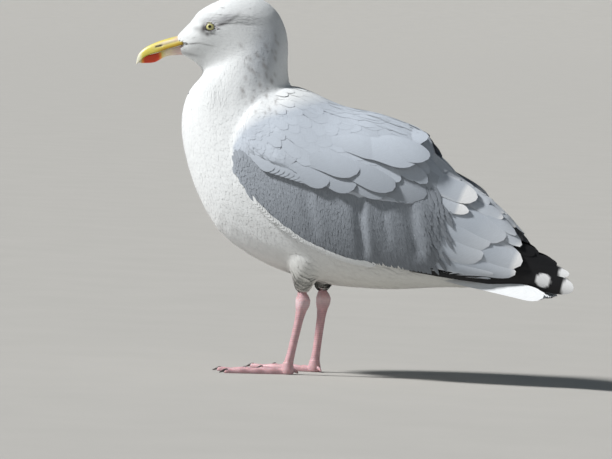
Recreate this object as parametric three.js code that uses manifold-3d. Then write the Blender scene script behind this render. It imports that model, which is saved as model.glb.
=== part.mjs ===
// Adult herring gull standing at rest with folded wings, life size.
// Millimetres, +Z up. The bill points towards -X, the gull's left side towards -Y,
// and the soles of both feet lie in the plane z = 0.

import * as THREE from 'three';
import { mergeVertices } from 'three/addons/utils/BufferGeometryUtils.js';
import Module from 'manifold-3d';

const wasm = await Module();
wasm.setup();

// ---------------------------------------------------------------- driving sizes

const GAP = 0.3; // clearance between neighbouring pieces
const CUT = 0.16; // half of a thin parting cut between two lengths of the body
const HEAD_TURN = THREE.MathUtils.degToRad(16); // the head looks a little to its left
const NECK_AXIS_X = -100; // upright axis that the head turns about

const BODY_SIDES = 24; // facets round the body
const BODY_STEPS = 2; // sections per body station
const CLOAK_SIDES = 24; // facets round the folded wings

const EYE_RADIUS = 7.4;
const EYE_PLACE = { x: -153.3, z: 384 }; // on the head before it is turned
const EYE_DEPTH = 5.6; // from the cheek's surface in to the eye's centre

const FOOT_SPREAD = 31; // from the middle plane to each leg
const LEFT_LEG = { ankle: -25.8, heel: -40.5, hip: -22, toeOut: 6 };
const RIGHT_LEG = { ankle: -20, heel: -27.5, hip: -18, toeOut: 9 };

// Body stations from the tail coverts to the bill: the point on the back, the point
// on the belly, the half width, where the widest place lies between the two
// (0 back, 1 belly), and the share of the head's turn.
const BODY_STATIONS = [
  { back: [174, 121], belly: [172, 109], half: 13, wide: 0.5, turn: 0 },
  { back: [154, 134], belly: [147, 106.5], half: 26, wide: 0.55, turn: 0 },
  { back: [130, 160], belly: [115, 104.5], half: 37, wide: 0.6, turn: 0 },
  { back: [98, 203], belly: [72, 100], half: 47, wide: 0.6, turn: 0 },
  { back: [60, 248], belly: [30, 99.5], half: 56, wide: 0.58, turn: 0 },
  { back: [15, 287], belly: [-15, 102], half: 61, wide: 0.55, turn: 0 },
  { back: [-25, 307], belly: [-58, 113], half: 63, wide: 0.52, turn: 0 },
  { back: [-50, 318.5], belly: [-98, 129], half: 62, wide: 0.52, turn: 0 },
  { back: [-60, 322], belly: [-135, 155], half: 58, wide: 0.55, turn: 0 },
  { back: [-63, 328], belly: [-163.5, 199], half: 53, wide: 0.55, turn: 0.05 },
  { back: [-64.5, 338], belly: [-180, 245.5], half: 47, wide: 0.55, turn: 0.15 },
  { back: [-65, 350], belly: [-184, 280], half: 41.5, wide: 0.52, turn: 0.3 },
  { back: [-65, 362], belly: [-178, 308], half: 35.5, wide: 0.5, turn: 0.5 },
  { back: [-66.5, 376], belly: [-166, 323.5], half: 31, wide: 0.5, turn: 0.7 },
  { back: [-70, 388], belly: [-160, 332], half: 28, wide: 0.5, turn: 0.85 },
  { back: [-80, 406], belly: [-163.5, 338], half: 26, wide: 0.5, turn: 0.95 },
  { back: [-100, 417.5], belly: [-168.5, 343], half: 24.5, wide: 0.5, turn: 1 },
  { back: [-126, 418.5], belly: [-173, 346.3], half: 23.2, wide: 0.5, turn: 1 },
  { back: [-150, 409.5], belly: [-177, 348.6], half: 20.5, wide: 0.48, turn: 1 },
  { back: [-168, 397.5], belly: [-180.5, 350], half: 16.5, wide: 0.5, turn: 1 },
  { back: [-182, 383.5], belly: [-183, 351], half: 11.5, wide: 0.5, turn: 1 },
  { back: [-192, 372.6], belly: [-186, 351.4], half: 7.6, wide: 0.5, turn: 1 },
];
const NECK_START = 11.4; // station where the trunk ends
const HEAD_START = 14.3; // station where the neck ends

// Outer faces of the folded wings, as upright sections across the body: the top, the
// level of the greatest width, the bottom and the half width there.
const WING_SECTIONS = [
  { x: -118, top: 322, level: 240, low: 120, half: 52 },
  { x: -95, top: 320, level: 230, low: 110, half: 63 },
  { x: -50, top: 315, level: 218, low: 98, half: 69.5 },
  { x: 0, top: 297, level: 200, low: 88, half: 70.5 },
  { x: 50, top: 288, level: 182, low: 84, half: 66.5 },
  { x: 100, top: 270, level: 164, low: 88, half: 57 },
  { x: 140, top: 240, level: 148, low: 92, half: 46 },
  { x: 180, top: 210, level: 134, low: 94, half: 35 },
  { x: 220, top: 173, level: 124, low: 94, half: 25 },
  { x: 260, top: 143, level: 116, low: 92, half: 16 },
  { x: 290, top: 126, level: 110, low: 90, half: 11 },
];
const SCAPULAR_RISE = 6; // the shoulder feathers lie this far outside the wing
const TERTIAL_RISE = 3; // and the innermost flight feathers this far
const BLADE = 5.5; // thickness of the folded wing behind the trunk
const HOLLOW_START = 62; // where the hollow between the folded wings opens
const BACK_NOTCH = { start: 58, end: 130, half: 26 }; // between the two shoulder capes
const SLAB_DEPTH = 120; // beyond the widest place of the folded wings
const OUTLINE_STEPS = 2; // straight stretches for each point of a side outline

// ---------------------------------------------------------------- solids and lofts

function solidOf(geometry) {
  const bare = geometry.index ? geometry.clone() : geometry;
  for (const name of Object.keys(bare.attributes)) {
    if (name !== 'position') bare.deleteAttribute(name);
  }
  const merged = mergeVertices(bare, 1e-4);
  return new wasm.Manifold(new wasm.Mesh({
    numProp: 3,
    vertProperties: new Float32Array(merged.attributes.position.array),
    triVerts: new Uint32Array(merged.index.array),
  }));
}

function geometryOf(solid) {
  const mesh = solid.getMesh();
  const geometry = new THREE.BufferGeometry();
  geometry.setAttribute('position', new THREE.BufferAttribute(mesh.vertProperties, 3));
  geometry.setIndex(new THREE.BufferAttribute(mesh.triVerts, 1));
  geometry.computeVertexNormals();
  return geometry;
}

function mirrored(geometry) {
  const other = geometry.clone();
  other.scale(1, -1, 1);
  const index = other.index;
  for (let i = 0; i < index.count; i += 3) {
    const first = index.getX(i);
    index.setX(i, index.getX(i + 1));
    index.setX(i + 1, first);
  }
  other.computeVertexNormals();
  return other;
}

// A closed body over a row of rings with equal numbers of points.
function loft(rings) {
  const sides = rings[0].length;
  const points = rings.flat().flatMap((p) => [p.x, p.y, p.z]);
  const faces = [];
  for (let r = 0; r + 1 < rings.length; r += 1) {
    for (let s = 0; s < sides; s += 1) {
      const a = r * sides + s;
      const b = r * sides + ((s + 1) % sides);
      faces.push(a, b, b + sides, a, b + sides, a + sides);
    }
  }
  const last = (rings.length - 1) * sides;
  for (const [start, ring, flip] of [[0, rings[0], true], [last, rings.at(-1), false]]) {
    const centre = ring.reduce((sum, p) => sum.add(p), new THREE.Vector3());
    centre.divideScalar(sides);
    const hub = points.length / 3;
    points.push(centre.x, centre.y, centre.z);
    for (let s = 0; s < sides; s += 1) {
      const a = start + s;
      const b = start + ((s + 1) % sides);
      if (flip) faces.push(hub, b, a);
      else faces.push(hub, a, b);
    }
  }
  const geometry = new THREE.BufferGeometry();
  geometry.setAttribute('position', new THREE.Float32BufferAttribute(points, 3));
  geometry.setIndex(faces);
  const box = new THREE.Box3().setFromBufferAttribute(geometry.attributes.position);
  const middle = box.getCenter(new THREE.Vector3());
  if (signedVolume(geometry, middle) < 0) {
    const index = geometry.index;
    for (let i = 0; i < index.count; i += 3) {
      const first = index.getX(i);
      index.setX(i, index.getX(i + 1));
      index.setX(i + 1, first);
    }
  }
  return geometry;
}

function signedVolume(geometry, middle) {
  const place = geometry.attributes.position;
  const index = geometry.index;
  const corner = (i) => new THREE.Vector3().fromBufferAttribute(place, index.getX(i)).sub(middle);
  let volume = 0;
  for (let i = 0; i < index.count; i += 3) {
    volume += corner(i).dot(corner(i + 1).cross(corner(i + 2))) / 6;
  }
  return volume;
}

// Smooth values between stations: one Catmull-Rom piece per pair of neighbours.
function smooth(values, place) {
  const last = values.length - 1;
  const i = Math.min(Math.floor(place), last - 1);
  const t = place - i;
  const [p0, p1, p2, p3] = [i - 1, i, i + 1, i + 2].map((k) => {
    if (k < 0) return 2 * values[0] - values[1];
    if (k > last) return 2 * values[last] - values[last - 1];
    return values[k];
  });
  const cubic = 3 * p1 - p0 - 3 * p2 + p3;
  const square = 2 * p0 - 5 * p1 + 4 * p2 - p3;
  return 0.5 * (2 * p1 + (p2 - p0) * t + square * t * t + cubic * t * t * t);
}

function turnHead(point, share) {
  const axis = new THREE.Vector3(NECK_AXIS_X, 0, 0);
  return point.sub(axis).applyAxisAngle(new THREE.Vector3(0, 0, 1), HEAD_TURN * share).add(axis);
}

// ---------------------------------------------------------------- head, neck, trunk

function bodySection(place, grow) {
  const pick = (read) => smooth(BODY_STATIONS.map(read), place);
  const back = new THREE.Vector3(pick((s) => s.back[0]), 0, pick((s) => s.back[1]));
  const belly = new THREE.Vector3(pick((s) => s.belly[0]), 0, pick((s) => s.belly[1]));
  const half = pick((s) => s.half) + grow;
  const wide = pick((s) => s.wide);
  const turn = pick((s) => s.turn);
  const down = belly.clone().sub(back);
  const length = down.length();
  down.normalize();
  const ring = [];
  for (let s = 0; s < BODY_SIDES; s += 1) {
    const angle = (s / BODY_SIDES) * Math.PI * 2;
    const upper = wide * length + grow;
    const lower = (1 - wide) * length + grow;
    const along = -Math.cos(angle) * (Math.cos(angle) > 0 ? upper : lower);
    const point = back.clone().addScaledVector(down, wide * length + along);
    point.y = -Math.sin(angle) * half;
    ring.push(turnHead(point, turn));
  }
  return ring;
}

// A length of the body, with sections at its ends and at every step between them.
function bodyLength(from, to, grow = 0) {
  const rings = [bodySection(from, grow)];
  for (let i = Math.floor(from * BODY_STEPS) + 1; i / BODY_STEPS < to; i += 1) {
    rings.push(bodySection(i / BODY_STEPS, grow));
  }
  rings.push(bodySection(to, grow));
  return loft(rings);
}

const lastStation = BODY_STATIONS.length - 1;
const NECK_STEP = 10; // the stations lie about this far apart along the neck
const cutShare = CUT / NECK_STEP;
const trunk = solidOf(bodyLength(0, NECK_START - cutShare));
const neck = solidOf(bodyLength(NECK_START + cutShare, HEAD_START - cutShare));
const headWhole = solidOf(bodyLength(HEAD_START + cutShare, lastStation));
const bodyRoom = solidOf(bodyLength(0, lastStation, GAP)); // room for the body itself

// ---------------------------------------------------------------- eyes

function cheekHalfWidth(x, z) {
  let best = { miss: Infinity, half: 0 };
  for (let place = HEAD_START; place <= lastStation; place += 0.05) {
    const pick = (read) => smooth(BODY_STATIONS.map(read), place);
    const back = new THREE.Vector2(pick((s) => s.back[0]), pick((s) => s.back[1]));
    const belly = new THREE.Vector2(pick((s) => s.belly[0]), pick((s) => s.belly[1]));
    const line = belly.clone().sub(back);
    const length = line.length();
    line.normalize();
    const offset = new THREE.Vector2(x, z).sub(back);
    const miss = Math.abs(offset.cross(line));
    if (miss < best.miss) {
      const wide = pick((s) => s.wide);
      const down = offset.dot(line) / length - wide;
      const share = down < 0 ? -down / wide : down / (1 - wide);
      best = { miss, half: pick((s) => s.half) * Math.sqrt(Math.max(0, 1 - share * share)) };
    }
  }
  return best.half;
}

const eyeSide = cheekHalfWidth(EYE_PLACE.x, EYE_PLACE.z) - EYE_DEPTH;

function eyeball(side, radius) {
  const ball = new THREE.SphereGeometry(radius, 14, 8);
  const centre = turnHead(new THREE.Vector3(EYE_PLACE.x, side * eyeSide, EYE_PLACE.z), 1);
  ball.rotateX(Math.PI / 2);
  ball.translate(centre.x, centre.y, centre.z);
  return solidOf(ball);
}

const eyeLeft = eyeball(-1, EYE_RADIUS);
const eyeRight = eyeball(1, EYE_RADIUS);
const head = headWhole
  .subtract(eyeball(-1, EYE_RADIUS + GAP))
  .subtract(eyeball(1, EYE_RADIUS + GAP));

// ---------------------------------------------------------------- bill

// Sections from the feathers at the base out to the hooked tip.
const UPPER_BILL = [
  { x: -191.5, top: 372.4, edge: 360.4, half: 7.4 },
  { x: -199.5, top: 370.2, edge: 358.0, half: 6.7 },
  { x: -207, top: 367.6, edge: 355.0, half: 6.0 },
  { x: -214, top: 364.8, edge: 352.6, half: 5.2 },
  { x: -221, top: 361.6, edge: 350.4, half: 4.3 },
  { x: -227.5, top: 357.4, edge: 348.2, half: 3.3 },
  { x: -232, top: 351.6, edge: 343.6, half: 2.2 },
  { x: -234.6, top: 344.0, edge: 340.0, half: 1.2 },
];
const LOWER_BILL = [
  { x: -187.2, low: 351.2, edge: 362.0, half: 7.2 },
  { x: -193, low: 350.4, edge: 359.6, half: 6.6 },
  { x: -199.5, low: 349.0, edge: 357.7, half: 5.9 },
  { x: -205, low: 345.6, edge: 355.5, half: 5.3 },
  { x: -210, low: 342.6, edge: 353.6, half: 4.8 },
  { x: -218, low: 341.3, edge: 351.0, half: 3.9 },
  { x: -225, low: 341.2, edge: 348.6, half: 2.8 },
  { x: -229.5, low: 342.6, edge: 345.8, half: 1.4 },
];
const BILL_SIDES = 10;

// One half of the bill: an arch from the cutting edge over the ridge, closed by a flat
// underside along the cutting edge.
function billRing(x, ridge, edge, half) {
  const ring = [];
  for (let s = 0; s <= BILL_SIDES; s += 1) {
    const angle = (s / BILL_SIDES) * Math.PI;
    const y = -Math.cos(angle) * half;
    const z = edge + Math.sin(angle) ** 0.85 * (ridge - edge);
    ring.push(turnHead(new THREE.Vector3(x, y, z), 1));
  }
  return ring;
}

const billUpper = solidOf(loft(UPPER_BILL.map((s) => billRing(s.x, s.top, s.edge, s.half))))
  .subtract(bodyRoom);
const billLower = solidOf(
  loft(LOWER_BILL.map((s) => billRing(s.x, s.low, s.edge - GAP, s.half))),
).subtract(bodyRoom).subtract(
  solidOf(loft(UPPER_BILL.map((s) => billRing(s.x, s.top, s.edge - GAP, s.half + GAP)))),
);

// ---------------------------------------------------------------- folded wings

function wingSection(section, grow) {
  const ring = [];
  for (let s = 0; s < CLOAK_SIDES; s += 1) {
    const angle = (s / CLOAK_SIDES) * Math.PI * 2;
    const rise = Math.cos(angle);
    const reach = rise > 0 ? section.top + grow - section.level : section.level - section.low;
    const y = Math.sin(angle) * (section.half + grow);
    ring.push(new THREE.Vector3(section.x, y, section.level + rise * reach));
  }
  return ring;
}

// The outer face of the folded wings, grown outwards by a given rise.
function cloak(grow) {
  const rings = [];
  const last = WING_SECTIONS.length - 1;
  for (let i = 0; i <= last; i += 1) {
    const pick = (name) => smooth(WING_SECTIONS.map((s) => s[name]), i);
    const names = ['x', 'top', 'level', 'low', 'half'];
    rings.push(wingSection(Object.fromEntries(names.map((n) => [n, pick(n)])), grow));
  }
  return solidOf(loft(rings));
}

// The hollow under the folded wing tips, over the rump and tail.
function hollow() {
  const rings = [];
  for (const section of WING_SECTIONS.filter((s) => s.x > HOLLOW_START)) {
    const opened = Math.min(1, (section.x - HOLLOW_START) / 60);
    const half = Math.max(2, (section.half - BLADE) * opened);
    const top = section.level + (section.top - section.level - BLADE * 1.4) * opened;
    rings.push(wingSection({ ...section, top, half, low: 60 }, 0));
  }
  return solidOf(loft(rings));
}

// A slab with a smooth closed outline as seen from the side, on one side of the gull.
function sideSlab(outline, side, grow = 0) {
  const curve = new THREE.CatmullRomCurve3(
    outline.map(([x, z]) => new THREE.Vector3(x, z, 0)), true, 'centripetal');
  const points = curve.getPoints(outline.length * OUTLINE_STEPS).slice(0, -1);
  const flat = points.map((p) => new THREE.Vector2(p.x, p.y));
  if (THREE.ShapeUtils.isClockWise(flat)) flat.reverse();
  const grown = flat.map((p, i) => {
    const before = flat[(i + flat.length - 1) % flat.length];
    const after = flat[(i + 1) % flat.length];
    const way = after.clone().sub(before).normalize();
    return new THREE.Vector2(p.x + way.y * grow, p.y - way.x * grow);
  });
  const slab = new THREE.ExtrudeGeometry(
    new THREE.Shape(grown), { depth: SLAB_DEPTH, bevelEnabled: false });
  slab.rotateX(Math.PI / 2); // outline into the upright plane, depth towards -Y
  slab.translate(0, side < 0 ? -GAP / 2 : SLAB_DEPTH + GAP / 2, 0);
  return solidOf(slab);
}

// The notch that parts the rounded ends of the two shoulder capes over the rump.
function backNotch() {
  const { start, end, half } = BACK_NOTCH;
  const shape = new THREE.Shape();
  shape.moveTo(end, -half);
  shape.quadraticCurveTo((start + end) / 2, -half * 0.2, start, 0);
  shape.quadraticCurveTo((start + end) / 2, half * 0.2, end, half);
  shape.closePath();
  const wedge = new THREE.ExtrudeGeometry(
    shape, { depth: 350, curveSegments: 4, bevelEnabled: false });
  return solidOf(wedge);
}

const WING_OUTLINE = [
  [-99, 283], [-106, 255], [-101, 226], [-82, 200], [-52, 174], [-14, 151], [32, 135],
  [90, 129], [150, 122.5], [196, 118.5], [214, 121], [222, 132], [217, 148], [196, 172],
  [160, 205], [120, 238], [70, 268], [10, 284], [-50, 297],
];
const SCAPULAR_OUTLINE = [
  [-84, 302], [-98, 276], [-88, 250], [-62, 236], [-24, 222], [30, 207], [85, 198],
  [118, 200], [136, 213], [134, 232], [118, 249], [102, 262], [108, 274], [99, 282.5],
  [80, 288], [46, 295], [8, 300.5], [-30, 312], [-58, 321],
];
const TERTIAL_OUTLINE = [
  [60, 250], [96, 248], [114, 243], [132, 234], [150, 228.5], [166, 222.5], [184, 206],
  [204, 186], [221, 165], [224, 152], [212, 148], [190, 158], [160, 172], [120, 190],
  [80, 210], [50, 236],
];
const PRIMARY_OUTLINE = [
  [104, 127], [150, 120], [200, 114.5], [240, 110.5], [264, 107.5], [275, 111],
  [272, 121], [263, 130], [249, 140.5], [234, 151], [221, 159], [206, 150], [200, 132],
  [180, 126],
];

const wingFace = cloak(0);
const wingRoom = cloak(GAP);
const scapularFace = cloak(SCAPULAR_RISE);
const tertialFace = cloak(TERTIAL_RISE);
const under = hollow();
const notch = backNotch();

// The four layers of one folded wing. Each lies on the ones before it.
function foldedWing(side) {
  const layer = (outline, face) => (
    sideSlab(outline, side).intersect(face).subtract(bodyRoom));
  const wingPlace = sideSlab(WING_OUTLINE, side, GAP);
  const wing = layer(WING_OUTLINE, wingFace).subtract(under);
  const scapulars = layer(SCAPULAR_OUTLINE, scapularFace)
    .subtract(wingPlace.intersect(wingRoom))
    .subtract(notch);
  const tertials = layer(TERTIAL_OUTLINE, tertialFace)
    .subtract(under)
    .subtract(wingPlace.intersect(wingRoom))
    .subtract(sideSlab(SCAPULAR_OUTLINE, side, GAP));
  const primaries = layer(PRIMARY_OUTLINE, wingFace)
    .subtract(under)
    .subtract(wingPlace)
    .subtract(sideSlab(TERTIAL_OUTLINE, side, GAP));
  return { wing, scapulars, tertials, primaries };
}

// ---------------------------------------------------------------- tail

const TAIL = {
  root: 138, // hidden in the tail coverts
  tip: 256, // the middle pair is the longest
  shortening: 9, // of the outermost pair
  rootHalf: 19,
  tipHalf: 35,
  rootLevel: 116,
  tipLevel: 99.5,
  droop: 4, // of the outer edges
  thickness: 3.2,
  feathers: 6, // on each side
};

function tailSection(x) {
  const share = (x - TAIL.root) / (TAIL.tip - TAIL.root);
  const half = THREE.MathUtils.lerp(TAIL.rootHalf, TAIL.tipHalf, Math.sqrt(share));
  const level = THREE.MathUtils.lerp(TAIL.rootLevel, TAIL.tipLevel, share);
  const upper = [];
  const lower = [];
  const across = TAIL.feathers;
  for (let i = 0; i <= across; i += 1) {
    const side = (i / across) * 2 - 1;
    const z = level - TAIL.droop * side * side;
    upper.push(new THREE.Vector3(x, side * half, z + TAIL.thickness / 2));
    lower.unshift(new THREE.Vector3(x, side * half, z - TAIL.thickness / 2));
  }
  return [...upper, ...lower];
}

// Plan of the spread tips: one rounded end for each feather.
function tailPlan() {
  const shape = new THREE.Shape();
  shape.moveTo(TAIL.root, -TAIL.tipHalf - 5);
  const step = TAIL.tipHalf / TAIL.feathers;
  for (let i = -TAIL.feathers; i < TAIL.feathers; i += 1) {
    const near = i * step;
    const far = near + step;
    const reach = TAIL.tip - TAIL.shortening * Math.abs((i + 0.5) / TAIL.feathers) ** 2;
    if (i === -TAIL.feathers) shape.lineTo(reach - 6, near - 5);
    shape.lineTo(reach - 2.5, near);
    shape.quadraticCurveTo(reach + 2.5, near + step / 2, reach - 2.5, far);
    if (i === TAIL.feathers - 1) shape.lineTo(reach - 6, far + 5);
  }
  shape.lineTo(TAIL.root, TAIL.tipHalf + 5);
  const slab = new THREE.ExtrudeGeometry(shape, { depth: 60, curveSegments: 2, bevelEnabled: false });
  slab.translate(0, 0, 80);
  return solidOf(slab);
}

const tailRings = [0, 0.15, 0.35, 0.6, 0.8, 1.05].map((share) => (
  tailSection(THREE.MathUtils.lerp(TAIL.root, TAIL.tip, share))));
const tail = solidOf(loft(tailRings)).intersect(tailPlan()).subtract(bodyRoom);

// ---------------------------------------------------------------- legs and feet

const LEG_SIDES = 12;
const TOE_SIDES = 5; // facets over a toe's arched top
const THIGH_LOW = 92; // level where the feathers end on the leg
const FOOT_TOP = 10; // level where the shank meets the foot

function levelRing(x, y, z, deep, broad) {
  const ring = [];
  for (let s = 0; s < LEG_SIDES; s += 1) {
    const angle = (s / LEG_SIDES) * Math.PI * 2;
    ring.push(new THREE.Vector3(x + Math.cos(angle) * deep, y + Math.sin(angle) * broad, z));
  }
  return ring;
}

function thigh(leg, side) {
  const y = side * FOOT_SPREAD;
  return solidOf(loft([
    levelRing(leg.ankle - 1.5, y, THIGH_LOW, 6.6, 6.0),
    levelRing(leg.ankle - 1.5, y, THIGH_LOW + 4, 9.0, 7.6),
    levelRing(leg.ankle - 1, y, THIGH_LOW + 12, 13, 10.5),
    levelRing(leg.ankle + 1, y, THIGH_LOW + 24, 18, 14),
    levelRing(leg.hip, y * 0.97, THIGH_LOW + 38, 22, 17),
  ])).subtract(bodyRoom);
}

function shank(leg, side) {
  const y = side * FOOT_SPREAD;
  const at = (share) => THREE.MathUtils.lerp(leg.ankle, leg.heel, share);
  return solidOf(loft([
    levelRing(leg.ankle - 1.2, y, THIGH_LOW - GAP, 5.2, 4.6),
    levelRing(leg.ankle - 0.6, y, 89.5, 6.6, 5.4),
    levelRing(leg.ankle, y, 84, 8.6, 6.6),
    levelRing(leg.ankle - 0.3, y, 78, 8.2, 6.3),
    levelRing(at(0.12), y, 71.5, 6.2, 4.9),
    levelRing(at(0.25), y, 62, 5.0, 3.9),
    levelRing(at(0.5), y, 44, 4.7, 3.6),
    levelRing(at(0.75), y, 26, 4.7, 3.8),
    levelRing(at(0.92), y, 15, 5.3, 4.8),
    levelRing(at(1), y, FOOT_TOP + GAP, 6.2, 6.2),
  ]));
}

// A toe is flat below and arched above, swollen at each joint, and ends in a claw.
function toe(turn, length, joints, thick) {
  const rings = [];
  const steps = 7;
  const claw = 8;
  for (let i = 0; i <= steps; i += 1) {
    const share = i / steps;
    const knuckle = 1 + 0.09 * Math.cos(share * joints * Math.PI * 2);
    const half = thick * (1 - 0.42 * share) * knuckle;
    rings.push({ far: share * (length - claw), half, high: half * 1.32 });
  }
  rings.push({ far: length - claw + 0.6, half: 1.5, high: 3.2 });
  rings.push({ far: length - claw * 0.45, half: 1.1, high: 2.4 });
  rings.push({ far: length, half: 0.5, high: 0.7 });
  return solidOf(loft(rings.map((r) => {
    const ring = [];
    for (let s = 0; s <= TOE_SIDES; s += 1) {
      const angle = (s / TOE_SIDES) * Math.PI;
      const y = -Math.cos(angle) * r.half;
      const z = Math.sin(angle) * r.high;
      const point = new THREE.Vector3(-r.far, y, z);
      ring.push(point.applyAxisAngle(new THREE.Vector3(0, 0, 1), turn));
    }
    return ring;
  })));
}

// The inner, middle and outer toe of the left foot.
const TOES = [
  { turn: THREE.MathUtils.degToRad(-26), length: 68, joints: 2, thick: 3.9 },
  { turn: 0, length: 86, joints: 3, thick: 4.3 },
  { turn: THREE.MathUtils.degToRad(25), length: 79, joints: 4, thick: 4.0 },
];
const WEB_REACH = 0.86; // of each toe's length
const WEB_THICK = 1.8;

function web() {
  const tip = ({ turn, length }) => new THREE.Vector2(
    -Math.cos(turn) * length * WEB_REACH, -Math.sin(turn) * length * WEB_REACH);
  const tips = TOES.map(tip);
  const shape = new THREE.Shape();
  shape.moveTo(3, 0);
  shape.lineTo(tips[0].x, tips[0].y);
  for (let i = 0; i + 1 < tips.length; i += 1) {
    const between = tips[i].clone().add(tips[i + 1]).multiplyScalar(0.5 * 0.86);
    shape.quadraticCurveTo(between.x, between.y, tips[i + 1].x, tips[i + 1].y);
  }
  shape.closePath();
  return solidOf(new THREE.ExtrudeGeometry(
    shape, { depth: WEB_THICK, curveSegments: 6, bevelEnabled: false }));
}

// The small hind toe of the left foot: it points back and inwards, and its claw
// reaches down to the floor.
function hindToe() {
  const rings = [[0, 6.5, 3.0], [5, 5.6, 2.6], [10, 3.8, 2.1], [13.5, 1.9, 1.2], [15.5, 0.6, 0.5]];
  return solidOf(loft(rings.map(([far, z, half]) => {
    const ring = [];
    for (let s = 0; s < 8; s += 1) {
      const angle = (s / 8) * Math.PI * 2;
      const up = Math.max(0, z + Math.sin(angle) * half);
      ring.push(new THREE.Vector3(far * 0.85, far * 0.4 + Math.cos(angle) * half, up));
    }
    return ring;
  })));
}

function foot(leg, side) {
  const pad = solidOf(loft([
    levelRing(0, 0, 0, 6.6, 6.8),
    levelRing(0, 0, 4, 7.4, 7.2),
    levelRing(0, 0, 8, 6.8, 6.8),
    levelRing(0, 0, FOOT_TOP, 6.2, 6.2),
  ]));
  let whole = pad.add(web()).add(hindToe());
  for (const { turn, length, joints, thick } of TOES) {
    whole = whole.add(toe(turn, length, joints, thick));
  }
  const geometry = geometryOf(whole);
  const placed = side < 0 ? geometry : mirrored(geometry);
  placed.rotateZ(-side * THREE.MathUtils.degToRad(leg.toeOut));
  placed.translate(leg.heel, side * FOOT_SPREAD, 0);
  return placed;
}

// ---------------------------------------------------------------- the whole gull

const finish = (color, roughness) => new THREE.MeshStandardMaterial({
  color, roughness, metalness: 0,
});
const WHITE = finish('#eef0f2', 0.8);
const GREY = finish('#a9b0ba', 0.75);
const BLACK = finish('#1b1b1f', 0.6);
const BILL_YELLOW = finish('#d9bd4a', 0.4);
const IRIS = finish('#d8cf8e', 0.15);
const PINK = finish('#c99a9c', 0.55);

const gull = new THREE.Group();

function place(name, geometry, material) {
  const mesh = new THREE.Mesh(geometry, material.clone());
  mesh.name = name;
  gull.add(mesh);
}

place('trunk', geometryOf(trunk), WHITE);
place('neck', geometryOf(neck), WHITE);
place('head', geometryOf(head), WHITE);
place('tail', geometryOf(tail), WHITE);
place('bill_upper', geometryOf(billUpper), BILL_YELLOW);
place('bill_lower', geometryOf(billLower), BILL_YELLOW);
place('eye_left', geometryOf(eyeLeft), IRIS);
place('eye_right', geometryOf(eyeRight), IRIS);

for (const [name, leg, side] of [['left', LEFT_LEG, -1], ['right', RIGHT_LEG, 1]]) {
  const layers = foldedWing(side);
  place(`wing_${name}`, geometryOf(layers.wing), GREY);
  place(`scapulars_${name}`, geometryOf(layers.scapulars), GREY);
  place(`tertials_${name}`, geometryOf(layers.tertials), GREY);
  place(`primaries_${name}`, geometryOf(layers.primaries), BLACK);
  place(`thigh_${name}`, geometryOf(thigh(leg, side)), WHITE);
  place(`shank_${name}`, geometryOf(shank(leg, side)), PINK);
  place(`foot_${name}`, foot(leg, side), PINK);
}

// The origin lies on the floor, under the middle of the whole gull.
const extent = new THREE.Box3().setFromObject(gull);
const centre = extent.getCenter(new THREE.Vector3());
gull.position.set(-centre.x, -centre.y, -extent.min.z);

export default gull;
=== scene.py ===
import math

import bmesh
import bpy
import numpy as np
from mathutils import Matrix, Vector
from mathutils.bvhtree import BVHTree


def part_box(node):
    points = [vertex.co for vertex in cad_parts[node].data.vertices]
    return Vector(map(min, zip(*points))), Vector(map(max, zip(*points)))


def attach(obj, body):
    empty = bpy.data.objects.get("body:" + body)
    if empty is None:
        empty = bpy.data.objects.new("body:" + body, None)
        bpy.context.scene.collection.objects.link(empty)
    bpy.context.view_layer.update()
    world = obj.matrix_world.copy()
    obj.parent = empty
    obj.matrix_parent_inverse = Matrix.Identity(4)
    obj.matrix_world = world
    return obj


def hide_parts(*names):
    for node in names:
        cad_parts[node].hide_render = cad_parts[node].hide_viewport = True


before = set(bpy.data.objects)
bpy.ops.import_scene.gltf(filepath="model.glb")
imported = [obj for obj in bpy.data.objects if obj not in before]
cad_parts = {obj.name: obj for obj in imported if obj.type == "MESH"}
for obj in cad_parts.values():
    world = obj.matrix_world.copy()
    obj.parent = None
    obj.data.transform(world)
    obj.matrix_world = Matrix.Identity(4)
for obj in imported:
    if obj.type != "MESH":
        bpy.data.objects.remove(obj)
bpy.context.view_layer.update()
chance = np.random.default_rng(11)
MM = 0.001

# ---------------------------------------------------------------- hide of the body and legs
# The hide runs in one piece from the base of the bill over the neck, breast, folded arms and
# thighs to the rump. It is thin loose skin, stretched over a body form and hidden by plumage;
# its surface lies a coat's depth inside the outline that the feathers fill.

COAT_DEPTH = 2.4 * MM
SKIN_GRAIN = 2.2 * MM  # size of the facets that the skin is made of
SKIN_EASING = 0.5
SKIN_SHADE = 0.9  # the skin is this much darker than the plumage over it
FLESH = ["trunk", "neck", "head", "eye_left", "eye_right", "thigh_left", "thigh_right",
         "wing_left", "wing_right", "scapulars_left", "scapulars_right"]
PLUMED = FLESH + ["tertials_left", "tertials_right", "primaries_left", "primaries_right"]


def new_piece(name, points, faces, smooth=True):
    """An object whose faces all have the same number of corners."""
    faces = np.asarray(faces, int)
    mesh = bpy.data.meshes.new(name)
    mesh.vertices.add(len(points))
    mesh.vertices.foreach_set("co", np.asarray(points, float).ravel())
    mesh.loops.add(faces.size)
    mesh.loops.foreach_set("vertex_index", faces.ravel())
    mesh.polygons.add(len(faces))
    mesh.polygons.foreach_set("loop_start", np.arange(len(faces)) * faces.shape[1])
    mesh.update(calc_edges=True)
    mesh.validate()
    if smooth:
        mesh.shade_smooth()
    piece = bpy.data.objects.new(name, mesh)
    bpy.context.scene.collection.objects.link(piece)
    return piece


def mesh_points(piece):
    """The places of a piece's vertices."""
    place = np.empty(len(piece.data.vertices) * 3)
    piece.data.vertices.foreach_get("co", place)
    return place.reshape(-1, 3)


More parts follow.
